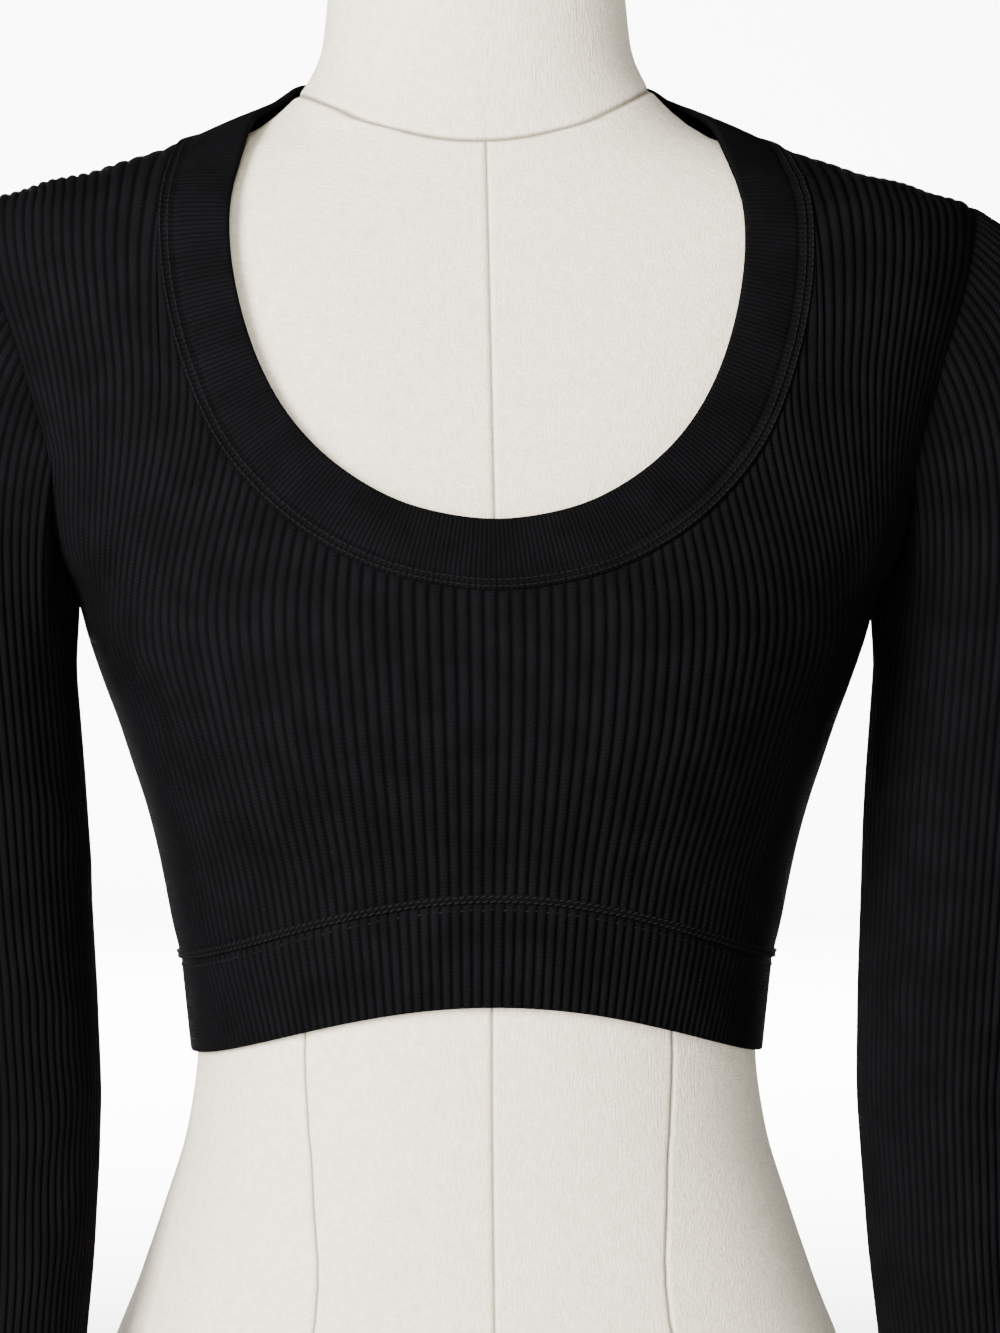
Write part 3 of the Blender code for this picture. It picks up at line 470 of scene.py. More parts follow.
def neck_curve(table):
    """Half of a neckline on the cloth's inner face, from the centre front to the centre back."""
    x, z = np.array(table["x"]) * CM, np.array(table["z"]) * CM
    y = [side and depth(CLOTH, a, b, side) for a, b, side in zip(x, z, NECK_SIDES)]
    corners = xyz(x, y, z)
    # The next point across the middle, at each end, makes the curve level where it crosses.
    corners = np.vstack([corners[1] * MIRROR, corners, corners[-2] * MIRROR])
    run = lengths(corners)
    at = np.linspace(run[1], run[-2], FINE)
    curve = onto(CLOTH, np.stack([smooth(run, corners[:, k], at) for k in range(3)], axis=-1))
    curve[[0, -1], 0] = 0
    # The corners are rounded off, on the curve mirrored at both of its ends.
    whole = np.concatenate([curve[:0:-1] * MIRROR, curve, curve[-2::-1] * MIRROR])
    step = np.linalg.norm(curve[1] - curve[0])
    reach = int(3 * NECK_ROUNDING / step)
    weights = np.exp(-0.5 * (np.arange(-reach, reach + 1) * step / NECK_ROUNDING) ** 2)
    weights /= weights.sum()
    soft = np.stack([np.convolve(whole[:, k], weights, "same") for k in range(3)], axis=-1)
    soft = onto(CLOTH, soft[FINE - 1 :][:FINE])
    soft[[0, -1], 0] = 0
    return soft


def ridge_level(x):
    """Level of the shoulder ridge at the distance x from the centre."""
    levels = np.linspace(RIDGE_START_Z, NECK_ROOT_Z, FINE)
    return np.interp(x, section(CLOTH, levels)[0][::-1], levels[::-1])


def hem_points(side, w, z_side, rises, shift):
    """Points of the hem or of its seam at the rib places w: both are higher at the centre."""
    half = section(CLOTH, z_side)[0]
    x = rib_crossings(side, w, z_side)
    share = x / x[-1]
    for _ in range(HEM_ROUNDS):
        z = z_side + rises[side] * np.clip(1 - (x / half) ** 2, 0, 1) ** HEM_CURVE_POWER
        x = share * section(CLOTH, z)[0]
    z = z + shift
    return on_cloth(share * section(CLOTH, z)[0], z, side)


def rib_ends(side, w, straight_x):
    """Where each rib place w meets the panel's top edge, which ends at the shoulder tip."""
    seam = neck_curve(NECK_SEAM)
    ridge = int(np.argmin(np.abs(seam[:, 1])))
    neck = (seam[: ridge + 1] if side < 0 else seam[ridge:][::-1]).copy()
    neck[-1, 1] = 0
    x = np.linspace(neck[-1, 0], section(CLOTH, SHOULDER_TIP_Z)[0], SHOULDER_POINTS)[1:]
    edge = np.vstack([neck, xyz(x, x * 0, ridge_level(x))])
    run = lengths(edge)
    # A rib that runs straight up meets the neckline where that is as far from the centre as the rib.
    nodes = np.array(STRAIGHT_SHARES) * STRAIGHT_PLACE[side]
    met = [run[int(np.argmax(edge[:, 0] >= straight_x(place, edge[:, 2])))] for place in nodes]
    places = [0, *nodes, CORNER_PLACE, 1]
    met = [0, *met, run[len(neck) - 1], run[-1]]
    if side < 0:
        places.insert(-2, STRAP_ENTRY["place"])
        met.insert(-2, run[int(np.argmax(edge[:, 2] >= STRAP_ENTRY["z"]))])
    return points_at(edge, run, smooth(places, met, w))


def rib_paths(side, w):
    """The course of each rib place w, 0 at the centre and 1 at the edge, from hem seam up."""
    places = np.linspace(0, 1, PANEL_RIBS + 1)
    levels = [min(z * CM, SHOULDER_TIP_Z) for z in COURSE_LEVELS]
    crossings = np.stack([rib_crossings(side, places, z) for z in levels])
    # Above the chest only the ribs beside the armhole follow its way out to the shoulder tip.
    chest = COURSE_LEVELS.index(CHEST_LEVEL)
    spread = crossings[chest:, -1:] - crossings[chest, -1]
    crossings[chest:] = crossings[chest] + spread * places**STRAP_SPREAD_POWER

    def straight_x(place, z):
        """Distance from the centre of a rib that runs straight up, at the levels z."""
        column = [np.interp(place, places, row) for row in crossings]
        edge_gap = panel_edge(side, z) - smooth(COURSE_LEVELS, crossings[:, -1], z / CM)
        return smooth(COURSE_LEVELS, column, z / CM) + edge_gap * place**EDGE_PULL_POWER

    ends = rib_ends(side, w, straight_x)
    bottom = hem_points(side, w, *HEM_SEAM, SEAM_GAP / 2)
    t = np.linspace(0, 1, FINE)
    paths = []
    for place, start, end in zip(w, bottom, ends):
        guide = GUIDE_Z + (UNDERARM_Z - GUIDE_Z) * place**2
        z = np.linspace(start[2], guide, FINE)
        lower = xyz(straight_x(place, z), z * 0, z)
        lower[0, 0] = start[0]
        # Above the guide line the rib is laid out by how far it has climbed to the shoulder ridge.
        climb = np.sin(t * math.asin(min(1, (end[2] - guide) / (ridge_level(end[0]) - guide))))
        shift = end[0] - straight_x(place, end[2])
        on_strap = ease(STRAIGHT_PLACE[side], CORNER_PLACE, place)
        bend = t ** (NECK_BEND + (STRAP_BEND - NECK_BEND) * on_strap)
        z = guide + t * (end[2] - guide)
        for _ in range(PATH_ROUNDS):
            x = straight_x(place, z) + shift * bend
            z = guide + (ridge_level(x) - guide) * climb
        upper = xyz(x, z * 0, z)
        upper[-1] = end
        for part in (lower, upper):
            y = np.abs(depth(CLOTH, part[:, 0], part[:, 2], side))
            part[:, 1] = side * np.maximum(y, SEAM_GAP / 2)
        if abs(upper[-1, 1]) <= SHOULDER_REACH:
            upper[-1, 1] = -side * SHOULDER_LAP
        if place >= 1:
            lower[:, 1] = upper[0, 1] = side * SEAM_GAP / 2
        paths.append((lower, upper))
    return paths


def panel_grid(side, lower_rows, upper_rows):
    """Base points of a panel: rows from hem seam to top edge, columns from -X to +X."""
    grid = []
    for lower, upper in rib_paths(side, np.linspace(0, 1, PANEL_COLUMNS // 2 + 1)):
        grid.append(np.vstack([along(lower, lower_rows), along(upper, upper_rows)[1:]]))
    grid = np.stack(grid, axis=1)
    return np.concatenate([grid[:, :0:-1] * MIRROR, grid], axis=1)


def hem_ring(z_side, rises, shift, lean=0):
    """A ring round the lower body, at the rib places of front and back, moved in by lean."""
    w = np.linspace(0, 1, PANEL_COLUMNS // 2 + 1)
    w = w - lean * np.sin(np.pi * w**3)
    front, back = [hem_points(side, w, z_side, rises, shift) for side in (-1, 1)]
    return np.concatenate([front[:0:-1] * MIRROR, front, back[-2::-1], back[1:-1] * MIRROR])


def cap_points(turns):
    """Where the sleeve's ribs start on the +X armhole, higher up than by the shortest way."""
    turns = np.mod(turns - CAP_RISE * np.sin(turns), 2 * math.pi)
    z = UNDERARM_Z + (SHOULDER_TIP_Z - UNDERARM_Z) * ((1 + np.cos(np.linspace(0, math.pi, FINE))) / 2)
    halves = []
    # The seam runs from the shoulder tip to the underarm, over the front and over the back.
    for side, turned in ((-1, turns), (1, 2 * math.pi - turns)):
        seam = on_cloth(panel_edge(side, z), z, side)
        seam[[0, -1], 1] = 0
        halves.append(along(seam, np.minimum(turned, math.pi) / math.pi))
    return np.where((turns <= math.pi)[:, None], *halves)


def sleeve_ring(turns, z):
    """The sleeve's section at the level z: outside of the arm first, then its front."""
    x, y, across, deep = [read(SLEEVE, name, z) * CM for name in ("x", "y", "across", "deep")]
    return xyz(x + across * np.cos(turns), y - deep * np.sin(turns), turns * 0 + z)


def sleeve_row(turns, t, starts):
    """One row of the sleeve: t is 0 at the armhole, 1 at the top ring and 2 at the cuff."""
    if t >= 1:
        return sleeve_ring(turns, SLEEVE_TOP_Z + (CUFF_Z - SLEEVE_TOP_Z) * (t - 1))
    ends = sleeve_ring(turns, SLEEVE_TOP_Z)
    chord = np.linalg.norm(ends - starts, axis=-1, keepdims=True)
    down = unit(sleeve_ring(turns, SLEEVE_TOP_Z - MM) - ends) * chord
    leave = sleeve_leave(turns) * chord
    blend = ((1 + 2 * t) * (1 - t) ** 2) * starts + (t * (1 - t) ** 2) * leave
    return blend + (t * t * (3 - 2 * t)) * ends + (t * t * (t - 1)) * down


def sleeve_leave(turns):
    """Direction of the sleeve at the armhole: outwards at the shoulder, down at the underarm."""
    top = ((1 + np.cos(turns)) / 2) ** CAP_FALL
    (out, out_top), (down, down_top) = CAP_LEAVE["out"], CAP_LEAVE["down"]
    return unit(xyz(out + out_top * top, -CAP_LEAVE["front"] * np.sin(turns), down + down_top * top))


def sleeve_normals(turns, t):
    """Outward normals of a sleeve row, from rows and turns close by."""

    def row(turn_step, row_step):
        near = turns + turn_step
        return sleeve_row(near, min(max(t + row_step, 0), 2), cap_points(near))

    step = SLEEVE_STEP
    return unit(np.cross(row(step, 0) - row(-step, 0), row(0, step) - row(0, -step)))


# ---- cloth walls


def rounded(distance):
    """Share of a wall's thickness at a distance from its edge."""
    t = np.clip(distance / EDGE_ROUND, 0, 1)
    return EDGE_SHARE + (1 - EDGE_SHARE) * np.sqrt(1 - (1 - t) ** 2)


def rib_profile(phase):
    """Height across a rib: a round cord between two narrow valleys, at phases 0 and 1."""
    return np.clip(1 - np.abs(2 * phase - 1) ** RIB_ROUNDNESS, 0, 1)


def creased(grid, normals, creases, place):
    """The grid with soft ridges and troughs along lines that place lays out."""
    t = np.linspace(0, 1, CREASE_POINTS)
    swell = np.sin(np.linspace(0, math.pi, CREASE_POINTS + 2)[1:-1])
    shift = np.zeros(grid.shape[:2])
    for start, z0, end, z1, rise, wide in creases:
        reach = 0
        for point, size in zip(place(start + (end - start) * t, (z0 + (z1 - z0) * t) * CM), swell):
            near = np.sum((grid - point) ** 2, axis=-1) / (wide * MM) ** 2
            reach = np.maximum(reach, size * np.exp(-near))
        shift += rise * MM * reach
    return grid + normals * shift[..., None]


def quads(grid):
    """Faces between the rows and columns of a grid of point numbers."""
    corners = (grid[:-1, :-1], grid[:-1, 1:], grid[1:, 1:], grid[1:, :-1])
    return np.stack(corners, axis=-1).reshape(-1, 4)


def add_mark(obj, name, values):
    attribute = obj.data.attributes.new(name, "FLOAT", "POINT")
    attribute.data.foreach_set("value", np.asarray(values, np.float32))


def wall_object(name, outer, inner, step, wrap, marks, material):
    """A closed wall between an outer grid and every step-th column of an inner one."""
    inner = inner[:, ::step]
    rows, fine = outer.shape[:2]
    coarse = inner.shape[1]
    out = np.arange(rows * fine).reshape(rows, fine)
    within = rows * fine + np.arange(rows * coarse).reshape(rows, coarse)
    if wrap:
        out, within = [np.hstack([grid, grid[:, :1]]) for grid in (out, within)]
    faces = quads(out).tolist() + quads(within)[:, ::-1].tolist()
    for row, turn in ((0, 1), (rows - 1, -1)):
        for c in range(within.shape[1] - 1):
            rim = out[row, c * step : (c + 1) * step + 1][::-1].tolist()
            faces.append((rim + within[row, c : c + 2].tolist())[::turn])
    if not wrap:
        for row in range(rows - 1):
            for column, a, b in ((0, row + 1, row), (-1, row, row + 1)):
                side = (out[a, column], within[a, column], within[b, column], out[b, column])
                faces.append([int(k) for k in side])
    verts = np.concatenate([outer.reshape(-1, 3), inner.reshape(-1, 3)])
    obj = mesh_object(name, verts, faces, material)
    # How far each point lies from the middle of its rib, and how far along the rib, in millimetres.
    across, length = marks
    for mark, values in (("across", across), ("length", length / MM)):
        values = np.broadcast_to(values, (rows, fine)).reshape(-1)
        add_mark(obj, mark, np.concatenate([values, np.zeros(rows * coarse)]))
    return obj


def add_object(name, data):
    obj = bpy.data.objects.new(name, data)
    bpy.context.scene.collection.objects.link(obj)
    return obj


def mesh_object(name, verts, faces, material):
    mesh = bpy.data.meshes.new(name)
    mesh.from_pydata(np.asarray(verts).tolist(), [], faces)
    mesh.validate()
    mesh.polygons.foreach_set("use_smooth", [True] * len(mesh.polygons))
    mesh.materials.append(material)
    return add_object(name, mesh)


def side_calm(base):
    """Share of the ribs' height: beside the side seams they fade out."""
    half = section(CLOTH, base[..., 2])[0]
    at_side = 1 - ease(*CALM_SIDE["wide"], half - np.abs(base[..., 0]))
    return 1 - CALM_SIDE["share"] * at_side * (1 - ease(*CALM_SIDE["z"], base[..., 2]))


def ribbed_wall(name, base, normals, rib_points, wrap, pressed, material, calm=1.0):
    """A ribbed cloth wall. Pressed says at which end rows a seam presses the ribs flat."""
    rows = lengths(base)
    ends = (rows, rows[-1:] - rows)
    edge = np.minimum(*ends)
    if not wrap:
        columns = lengths(base, 1)
        edge = np.minimum(edge, np.minimum(columns, columns[:, -1:] - columns))
    phase = (np.arange(base.shape[1]) / rib_points) % 1
    relief = rib_profile(phase)
    for distance, flat in zip(ends, pressed):
        if flat:
            relief = relief * ease(0, PRESSED, distance)
    thick = (VALLEY_WALL + RIB_RISE * relief * calm) * rounded(edge)
    outer = base + normals * thick[..., None]
    marks = (np.abs(2 * phase - 1), rows)
    return wall_object(name, outer, base, rib_points, wrap, marks, material)


def row_shares(count, close_start, close_end):
    """Even shares from 0 to 1, with close rows at the ends that turn in at an edge."""
    start, end = [CLOSE_ROWS if close else [] for close in (close_start, close_end)]
    low, high = [max(rows, default=0) * CLOSE_CLEAR for rows in (start, end)]
    middle = [share for share in np.linspace(0, 1, count)[1:-1] if share > low and 1 - share > high]
    return [0, *start, *middle, *(1 - share for share in end[::-1]), 1]


def build_panel(name, side, material):
    """Front or back, from the hem seam to the neckline, shoulder and armhole."""
    base = panel_grid(side, row_shares(LOWER_ROWS, True, False), row_shares(UPPER_ROWS, False, True))
    base = base[:, ::-side]
    normals = outward(CLOTH, base)
    base = creased(base, normals, PANEL_CREASES[side], lambda x, z: on_cloth(x * CM, z, side))
    calm = side_calm(base)
    return ribbed_wall(name, base, normals, PANEL_POINTS, False, (True, True), material, calm)


def build_hem_band(material):
    """The ring below front and back, whose ribs run over its folded lower edge."""
    low = hem_ring(*HEM, 0, HEM_LEAN)
    high = hem_ring(*HEM_SEAM, HEM_LAP)
    base = low + (high - low) * np.array(row_shares(HEM_ROWS, True, True))[:, None, None]
    normals = outward(CLOTH, base)
    return ribbed_wall(
        "hem_band_cloth", base, normals, PANEL_POINTS, True, (False, True), material, side_calm(base)
    )


def build_sleeve(name, hand, material):
    """A long set-in sleeve, hand 1 on the +X side and -1 on the other."""
    count = SLEEVE_RIBS * SLEEVE_POINTS
    turns = 2 * math.pi * np.arange(count) / count
    seam = cap_points(turns)
    # At the underarm panel and sleeve lie face to face, so the sleeve starts two walls further out.
    spread = SEAM_SPREAD * (outward(CLOTH, seam) - sleeve_normals(turns, 0.0))
    leave = sleeve_leave(turns)
    under = 1 - ease(*FACE_TO_FACE_Z, seam[:, 2:])
    apart = leave * np.maximum(np.sum(spread * leave, axis=-1, keepdims=True), 0)
    starts = seam + under * spread + (1 - under) * apart
    rows = [1 + share for share in row_shares(ARM_ROWS, False, True)[1:]]
    rows = row_shares(CAP_ROWS, True, False) + rows
    base = np.stack([sleeve_row(turns, t, starts) for t in rows])
    normals = np.stack([sleeve_normals(turns, t) for t in rows])
    creases = SLEEVE_CREASES[hand]
    base = creased(base, normals, creases, lambda turned, z: sleeve_ring(np.radians(turned), z))
    if hand < 0:
        base, normals = [np.roll(grid[:, ::-1], 1, axis=1) * MIRROR for grid in (base, normals)]
    return ribbed_wall(name, base, normals, SLEEVE_POINTS, True, (True, False), material)


def square_pairs(count):
    """Points of both edges of the neckband, paired square across it."""
    halves = [neck_curve(table) for table in (NECK_SEAM, NECK_EDGE)]
    places = np.arange(BAND_FINE) / BAND_FINE
    edges = [along(np.concatenate([half, half[-2::-1] * MIRROR]), places) for half in halves]
    # Middle points at even steps, each with the course of the band there.
    middle = along(closed(sum(edges) / 2), np.arange(count) / count)
    course = unit(np.roll(middle, -1, axis=0) - np.roll(middle, 1, axis=0))
    pairs = []
    for curve in edges:
        ahead = np.einsum("mk,mk->m", middle, course)[:, None] - course @ curve.T
        far = np.linalg.norm(middle[:, None] - curve[None], axis=-1) > BAND_REACH
        pairs.append(curve[np.argmin(np.abs(ahead) + far, axis=1)])
    return pairs


def build_neckband(material):
    """The doubled fine rib round the neckline, with a flat stitched strip at its seam."""
    count = BAND_RIBS * BAND_POINTS
    seam, edge = square_pairs(count)
    across = unit(edge - seam)
    around = np.roll(seam + edge, -1, axis=0) - np.roll(seam + edge, 1, axis=0)
    start = seam - across * BAND_LAP
    at_seam = outward(CLOTH, seam)
    shares = np.array(BAND_ROWS)[:, None, None]
    normals = unit(at_seam + (unit(np.cross(around, across)) - at_seam) * ease(0, BAND_TURN, shares))
    base = start + (edge - start) * shares
    rows = lengths(base)
    phase = (np.arange(count) / BAND_POINTS) % 1
    ribs = rib_profile(phase) * ease(BAND_STRIP, BAND_STRIP + BAND_STRIP_FADE, rows)
    ribs = ribs * read(BAND_RIBS_SHOW, "share", base[..., 2])
    ridges = sum(rise * MM * bell(rows - at * MM, wide * MM) for at, wide, rise in BAND_RIDGES)
    crown = np.sin(np.pi * np.clip((rows - BAND_STRIP) / (rows[-1:] - BAND_STRIP), 0, 1))
    thick = BAND_WALL + BAND_RIB_RISE * ribs + ridges + BAND_CROWN * crown
    thick = thick * rounded(np.minimum(rows, rows[-1:] - rows))
    outer = base + normals * thick[..., None]
    marks = (np.abs(2 * phase - 1), rows)
    band = wall_object("neckband_cloth", outer, base, BAND_POINTS, True, marks, material)
    return band, [outer_line(outer, normals, rows, distance) for distance in BAND_STITCHES_AT]


def outer_line(outer, normals, rows, distance):
    """The line on an outer face at a distance from its first row, with the normals there."""
    columns = range(outer.shape[1])
    line = [points_at(outer[:, c], rows[:, c], distance) for c in columns]
    leans = [points_at(normals[:, c], rows[:, c], distance) for c in columns]
    return np.array(line), unit(np.array(leans))


def stitch_mesh(name, lines, pitch, length, radius, lean, material):
    """Rows of short stitches along closed lines, each a little drop of thread."""
    verts = []
    faces = []
    sides, rings = DROP["sides"], DROP["rings"]
    for line, leans in lines:
        line, leans = closed(line), closed(leans)
        run = lengths(line)
        count = int(run[-1] / pitch)
        for at in (np.arange(count) + 0.5) * run[-1] / count:
            centre = points_at(line, run, at)
            up = unit(points_at(leans, run, at))
            way = unit(points_at(line, run, at + pitch / 4) - centre)
            way = unit(way + np.cross(up, way) * lean)
            beside = np.cross(up, way)
            first = len(verts)
            for place, size in rings:
                for turn in 2 * math.pi * np.arange(sides) / sides:
                    off = (beside * math.cos(turn) + up * DROP["flat"] * math.sin(turn)) * radius * size
                    verts.append(centre + way * place * length + up * radius * DROP["lift"] + off)
            around = first + np.arange(sides * len(rings)).reshape(-1, sides)
            faces += quads(np.hstack([around, around[:, :1]])).tolist()
            faces += [around[0, ::-1].tolist(), around[-1].tolist()]
    return mesh_object(name, verts, faces, material)


def build_hem_strip(material):
    """The flat cover-stitched strip on the hem seam, and the lines of its stitches."""

    def line(shift, height):
        ring = hem_ring(*HEM_SEAM, shift * MM)
        lean = outward(CLOTH, ring)
        return ring + lean * (VALLEY_WALL + height * MM), lean

    outer = np.stack([line(*row)[0] for row in STRIP_ROWS])
    inner = outer - outward(CLOTH, outer) * STRIP_DEPTH
    # The flat strip gets part of the knit's painted valley shade.
    marks = (STRIP_PAINTED_SHADE, lengths(outer))
    strip = wall_object("hem_seam_strip", outer, inner, PANEL_POINTS, True, marks, material)
    return strip, [line(*row) for row in STRIP_STITCHES]


# ---- dress form


def form_ring(z):
    """Closely spaced points of one level of the form, from the centre back round +X."""
    turns = np.linspace(-math.pi / 2, 3 * math.pi / 2, FORM_FINE + 1)[:-1]
    half, front, back, power = section(FORM, z)
    c, s = -np.cos(turns), -np.sin(turns)
    x = -half * np.sign(c) * np.abs(c) ** (2 / power)
    reach = np.where(s > 0, back, front + bust_rise(x, z))
    return xyz(x, np.sign(s) * reach * np.abs(s) ** (2 / power), x * 0 + z)


def seam_places(ring, z):
    """Lengths along a closed form ring, and those at which the form's eight seams cross it."""
    run = lengths(ring)
    half = section(FORM, z)[0]
    princess = read(PRINCESS, "share", z) * half
    places = [0.0]
    crossings = (princess, half, princess, 0, -princess, -half, -princess)
    for x, side in zip(crossings, (1, 0, -1, -1, -1, 0, 1)):
        off = np.abs(ring[:, 0] - x)
        off[ring[:, 1] * side < 0] = off[[0, -1]] = np.inf
        places.append(run[np.argmin(off)])
    return run, np.array([*places, run[-1]])


def build_form_cover(material):
    """The form's linen cover, with close columns at the seams, which lie in shallow grooves."""
    near = np.array(SEAM_COLUMNS) * MM
    verts = []
    dark = []
    for level in form_levels():
        ring = closed(form_ring(level))
        run, places = seam_places(ring, level)
        at = []
        for start, end in zip(places, places[1:]):
            middle = np.linspace(start + near[-1], end - near[-1], GAP_COLUMNS + 2)[1:-1]
            at += [start + near, middle, (end - near[:0:-1])]
        at = np.concatenate(at)
        ring = points_at(ring, run, at)
        gaps = np.abs(at[:, None] - places[None])
        gap = np.min(gaps, axis=1)
        princess, centre = [read(table, "strength", level) for table in (PRINCESS, CENTRE)]
        strength = np.array([1, princess, 1, princess, centre, princess, 1, princess, 1])
        strength = strength[np.argmin(gaps, axis=1)]
        # The neck seam dips to the front, so the rings near it lean with it.
        forward = np.clip(-ring[:, 1] / LEAN["radius"], -1, 1)
        drop = LEAN["dip"] * forward * np.abs(forward) - LEAN["roll"] * ring[:, 0]
        ring[:, 2] -= drop * bell(level - NECK_SEAM_Z, LEAN["reach"])
        ring = onto(FORM, ring)
        around = bell(level - NECK_SEAM_Z, GROOVE["wide"])
        puff = GROOVE["puff"] * bell(gap - GROOVE["puff_at"], GROOVE["puff_wide"])
        sunk = np.maximum((bell(gap, GROOVE["wide"]) - puff) * strength, around) * GROOVE["deep"]
        verts.append(ring - outward(FORM, ring) * sunk[:, None])
        dark.append(np.maximum(bell(gap, GROOVE["dark"]) * strength, around))
    verts = np.stack(verts)
    index = np.arange(verts.size // 3).reshape(verts.shape[:2])
    faces = quads(np.hstack([index, index[:, :1]])).tolist()
    faces += [index[0, ::-1].tolist(), index[-1].tolist()]
    obj = mesh_object("form_cover", verts.reshape(-1, 3), faces, material)
    for face in (-1, -2):
        obj.data.polygons[face].use_smooth = False
    add_mark(obj, "seam", np.concatenate(dark))
    return obj


def form_levels():
    """Levels of the form's rings, which lie close together at the neck seam."""
    levels = set(np.round(np.linspace(0, FORM["z"][-1], FORM_RINGS) * CM, 6))
    for offset in SEAM_COLUMNS:
        levels |= {round(NECK_SEAM_Z + turn * offset * MM, 6) for turn in (-1, 1)}
    # No evenly spaced ring lies just outside the close ones.
    near = max(SEAM_COLUMNS) * MM
    return sorted(z for z in levels if not near + HAIR < abs(z - NECK_SEAM_Z) <= near + MM)


# ---- materials


class Nodes:
    """Builds one node material from short lines."""

    def __init__(self, name):
        self.material = bpy.data.materials.new(name)
        self.material.use_nodes = True
        self.tree = self.material.node_tree

    def put(self, node, inputs):
        """Sets inputs to numbers or colours, or links them to outputs."""
        for socket, value in inputs.items():
            if isinstance(value, bpy.types.NodeSocket):
                self.tree.links.new(value, node.inputs[socket])
            else:
                node.inputs[socket].default_value = value

    def add(self, kind, inputs, output=0, **settings):
        """Adds a node and returns one of its outputs."""
        node = self.tree.nodes.new("ShaderNode" + kind)
        for key, value in settings.items():
            setattr(node, key, value)
        self.put(node, inputs)
        return node.outputs[output]

    def shade(self, inputs):
        """Sets inputs of the surface itself."""
        self.put(self.tree.nodes["Principled BSDF"], inputs)
        return self.material

    def math(self, operation, *values):
        return self.add("Math", dict(enumerate(values)), operation=operation)

    def attribute(self, name):
        return self.add("Attribute", {}, "Fac", attribute_name=name)

    def noise(self, scale, detail, stretch=(1, 1, 1)):
        place = self.add("TexCoord", {}, "Object")
        place = self.add("Mapping", {"Vector": place, "Scale": stretch})
        return self.add("TexNoise", {"Vector": place, "Scale": scale, "Detail": detail}, "Fac")

    def mix(self, factor, first, second):
        return self.add("Mix", {0: factor, 6: first, 7: second}, 2, data_type="RGBA")

    def spread(self, value, ends):
        """The value moved from the first two numbers of ends to the last two."""
        return self.add("MapRange", dict(enumerate((value, *ends))))

    def bump(self, height, strength, distance):
        bump = {"Height": height, "Strength": strength, "Distance": distance}
        self.shade({"Normal": self.add("Bump", bump)})


def knit_material(name, look):
    """Matt black knit: chevron stitches along each rib, painted shade darkening the valleys, a little
    fibre on top.
    """
    n = Nodes(name)
    across = n.attribute("across")
    length = n.attribute("length")
    # Each stitch is a V: its legs rise from the middle of the rib to both sides.
    skewed = n.math("ADD", length, n.math("MULTIPLY", across, look["lean"]))
    wave = n.math("SINE", n.math("MULTIPLY", skewed, 2 * math.pi / look["stitch"]))
    ridge = n.math("SUBTRACT", 1.0, n.math("MULTIPLY", across, across))
    stitches = n.math("MULTIPLY", n.math("MULTIPLY", wave, ridge), look["relief"])
    fibre = n.math("MULTIPLY", n.noise(*look["fibre_noise"]), look["fuzz"])
    n.bump(n.math("ADD", stitches, fibre), 1.0, look["bump_depth"])
    # Colour: patches of tone that differ at random, times painted shade that darkens each rib's valleys.
    patches = n.spread(n.noise(*look["patch_noise"]), look["patch_ends"])
    shade = n.math("MULTIPLY", patches, n.spread(across, look["painted_valley_shade_ends"]))
    return n.shade({"Base Color": n.mix(shade, look["dark"], look["light"]), **look["surface"]})


def linen_material(name, look):
    """Cream linen: a fine plain weave with slubs, darker in the seams."""
    n = Nodes(name)
    weave = n.math("ADD", *(n.noise(*look["thread_noise"], stretch) for stretch in look["threads"]))
    slubs = n.noise(*look["slub_noise"])
    seam = n.attribute("seam")
    height = n.math("SUBTRACT", weave, n.math("MULTIPLY", seam, look["seam_sink"]))
    n.bump(height, look["bump"], look["bump_depth"])
    slub = n.spread(n.math("ADD", weave, slubs), look["slub_ends"])
    cloth = n.mix(slub, look["dark"], look["light"])
    colour = n.mix(n.spread(seam, look["seam_ends"]), cloth, look["seam"])
    return n.shade({"Base Color": colour, **look["surface"]})


# ---- studio


def add_light(name, at, aim, size, power, spread):
    data = bpy.data.lights.new(name, "AREA")
    data.shape = "RECTANGLE"
    data.size, data.size_y = size
    data.energy = power
    data.spread = math.radians(spread)
    light = add_object(name, data)
    light.location = at
    light.rotation_euler = (Vector(aim) - Vector(at)).to_track_quat("-Z", "Y").to_euler()


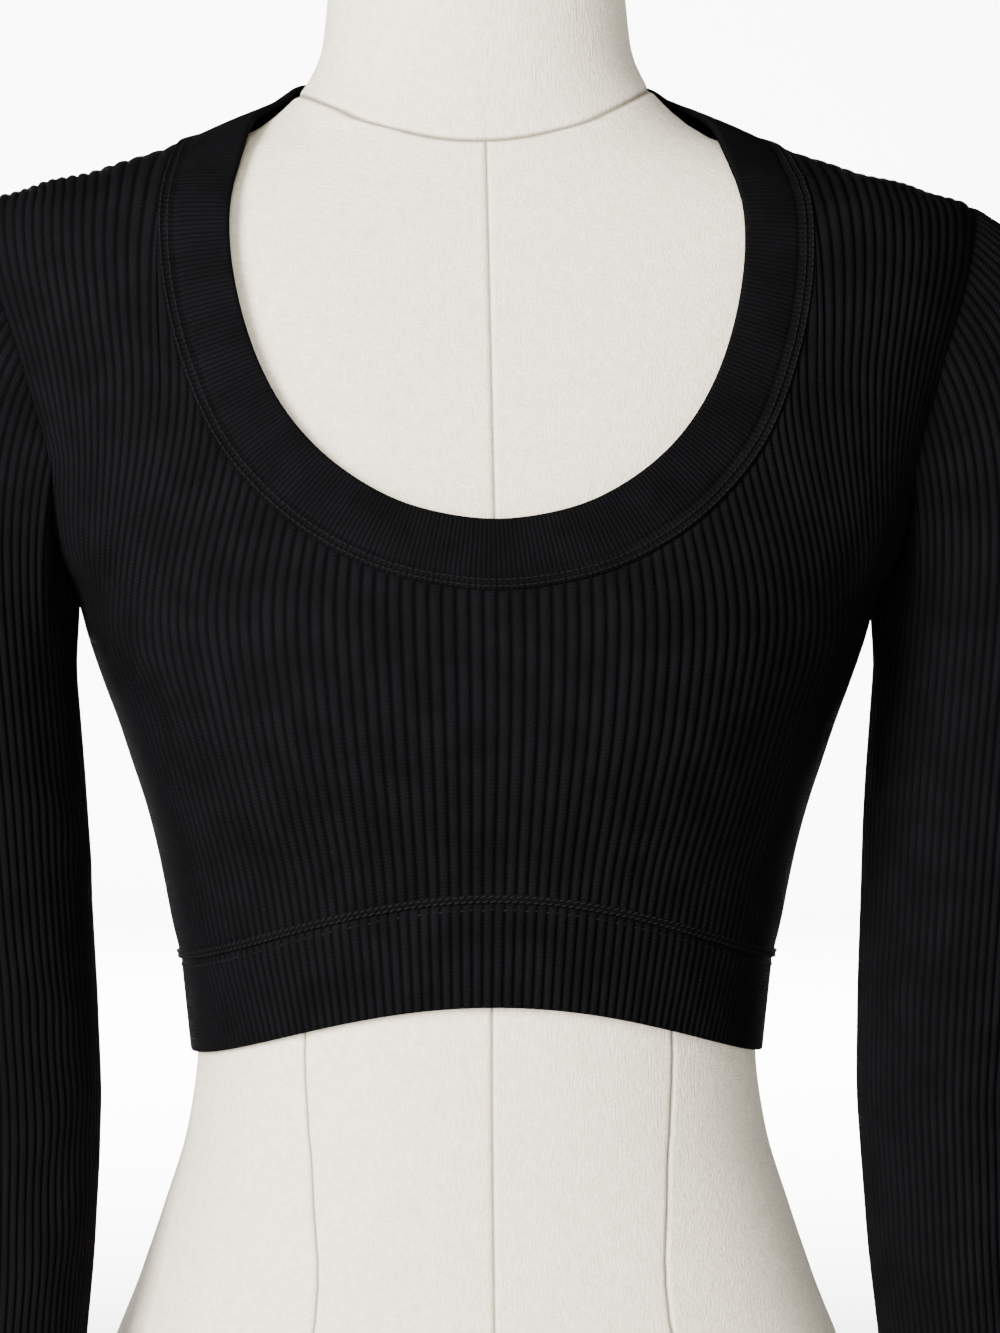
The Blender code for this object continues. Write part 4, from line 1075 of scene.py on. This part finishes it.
def build_studio():
    reach, back, radius = STUDIO["reach"], STUDIO["back"], STUDIO["radius"]
    turns = np.linspace(0, math.pi / 2, STUDIO["bend_points"])
    bend = [(back - radius + radius * math.sin(t), radius - radius * math.cos(t)) for t in turns]
    profile = [(-reach, 0.0), *bend, (back, STUDIO["height"])]
    verts = [(x, y, z) for x in (-reach, reach) for y, z in profile]
    count = len(profile)
    faces = [(i, i + count, i + count + 1, i + 1) for i in range(count - 1)]
    paper = mesh_object("studio_paper", verts, faces, Nodes("studio_paper").shade(STUDIO_PAPER))
    for light in LIGHTS:
        add_light(*light)
    world = bpy.data.worlds.new("studio")
    bpy.context.scene.world = world
    world.use_nodes = True
    for socket, value in WORLD.items():
        world.node_tree.nodes["Background"].inputs[socket].default_value = value


def build_camera():
    data = bpy.data.cameras.new("camera")
    data.lens = CAMERA["lens"]
    data.sensor_width = CAMERA["sensor"]
    data.clip_end = CAMERA["clip_end"]
    camera = add_object("camera", data)
    turn, lift = math.radians(CAMERA["azimuth"]), math.radians(CAMERA["height"])
    away = Vector((math.sin(turn) * math.cos(lift), -math.cos(turn) * math.cos(lift), math.sin(lift)))
    camera.location = Vector(CAMERA["aim"]) + away * CAMERA["distance"]
    camera.rotation_euler = away.to_track_quat("Z", "Y").to_euler()
    bpy.context.scene.camera = camera


# ---- the part


def declare(piece, node=None):
    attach(piece, "root")
    if node:
        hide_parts(node)


def build():
    build_camera()
    knit = knit_material("knit_looks", KNIT)
    band = knit_material("band_looks", BAND_KNIT)
    thread = Nodes("thread_looks").shade(THREAD)
    for node, side in (("front", -1), ("back", 1)):
        declare(build_panel(node + "_cloth", side, knit), node)
    for node, hand in (("sleeve_right", 1), ("sleeve_left", -1)):
        declare(build_sleeve(node + "_cloth", hand, knit), node)
    declare(build_hem_band(knit), "hem_band")
    neck, neck_lines = build_neckband(band)
    strip, hem_lines = build_hem_strip(knit)
    neck_stitches = stitch_mesh("neckband_stitches", neck_lines, *NECK_STITCH, thread)
    hem_stitches = stitch_mesh("hem_stitches", hem_lines, *HEM_STITCH, thread)
    declare(neck, "neckband")
    declare(strip)
    declare(neck_stitches)
    declare(hem_stitches)
    declare(build_form_cover(linen_material("linen_looks", LINEN)), "dress_form")
    build_studio()


build()
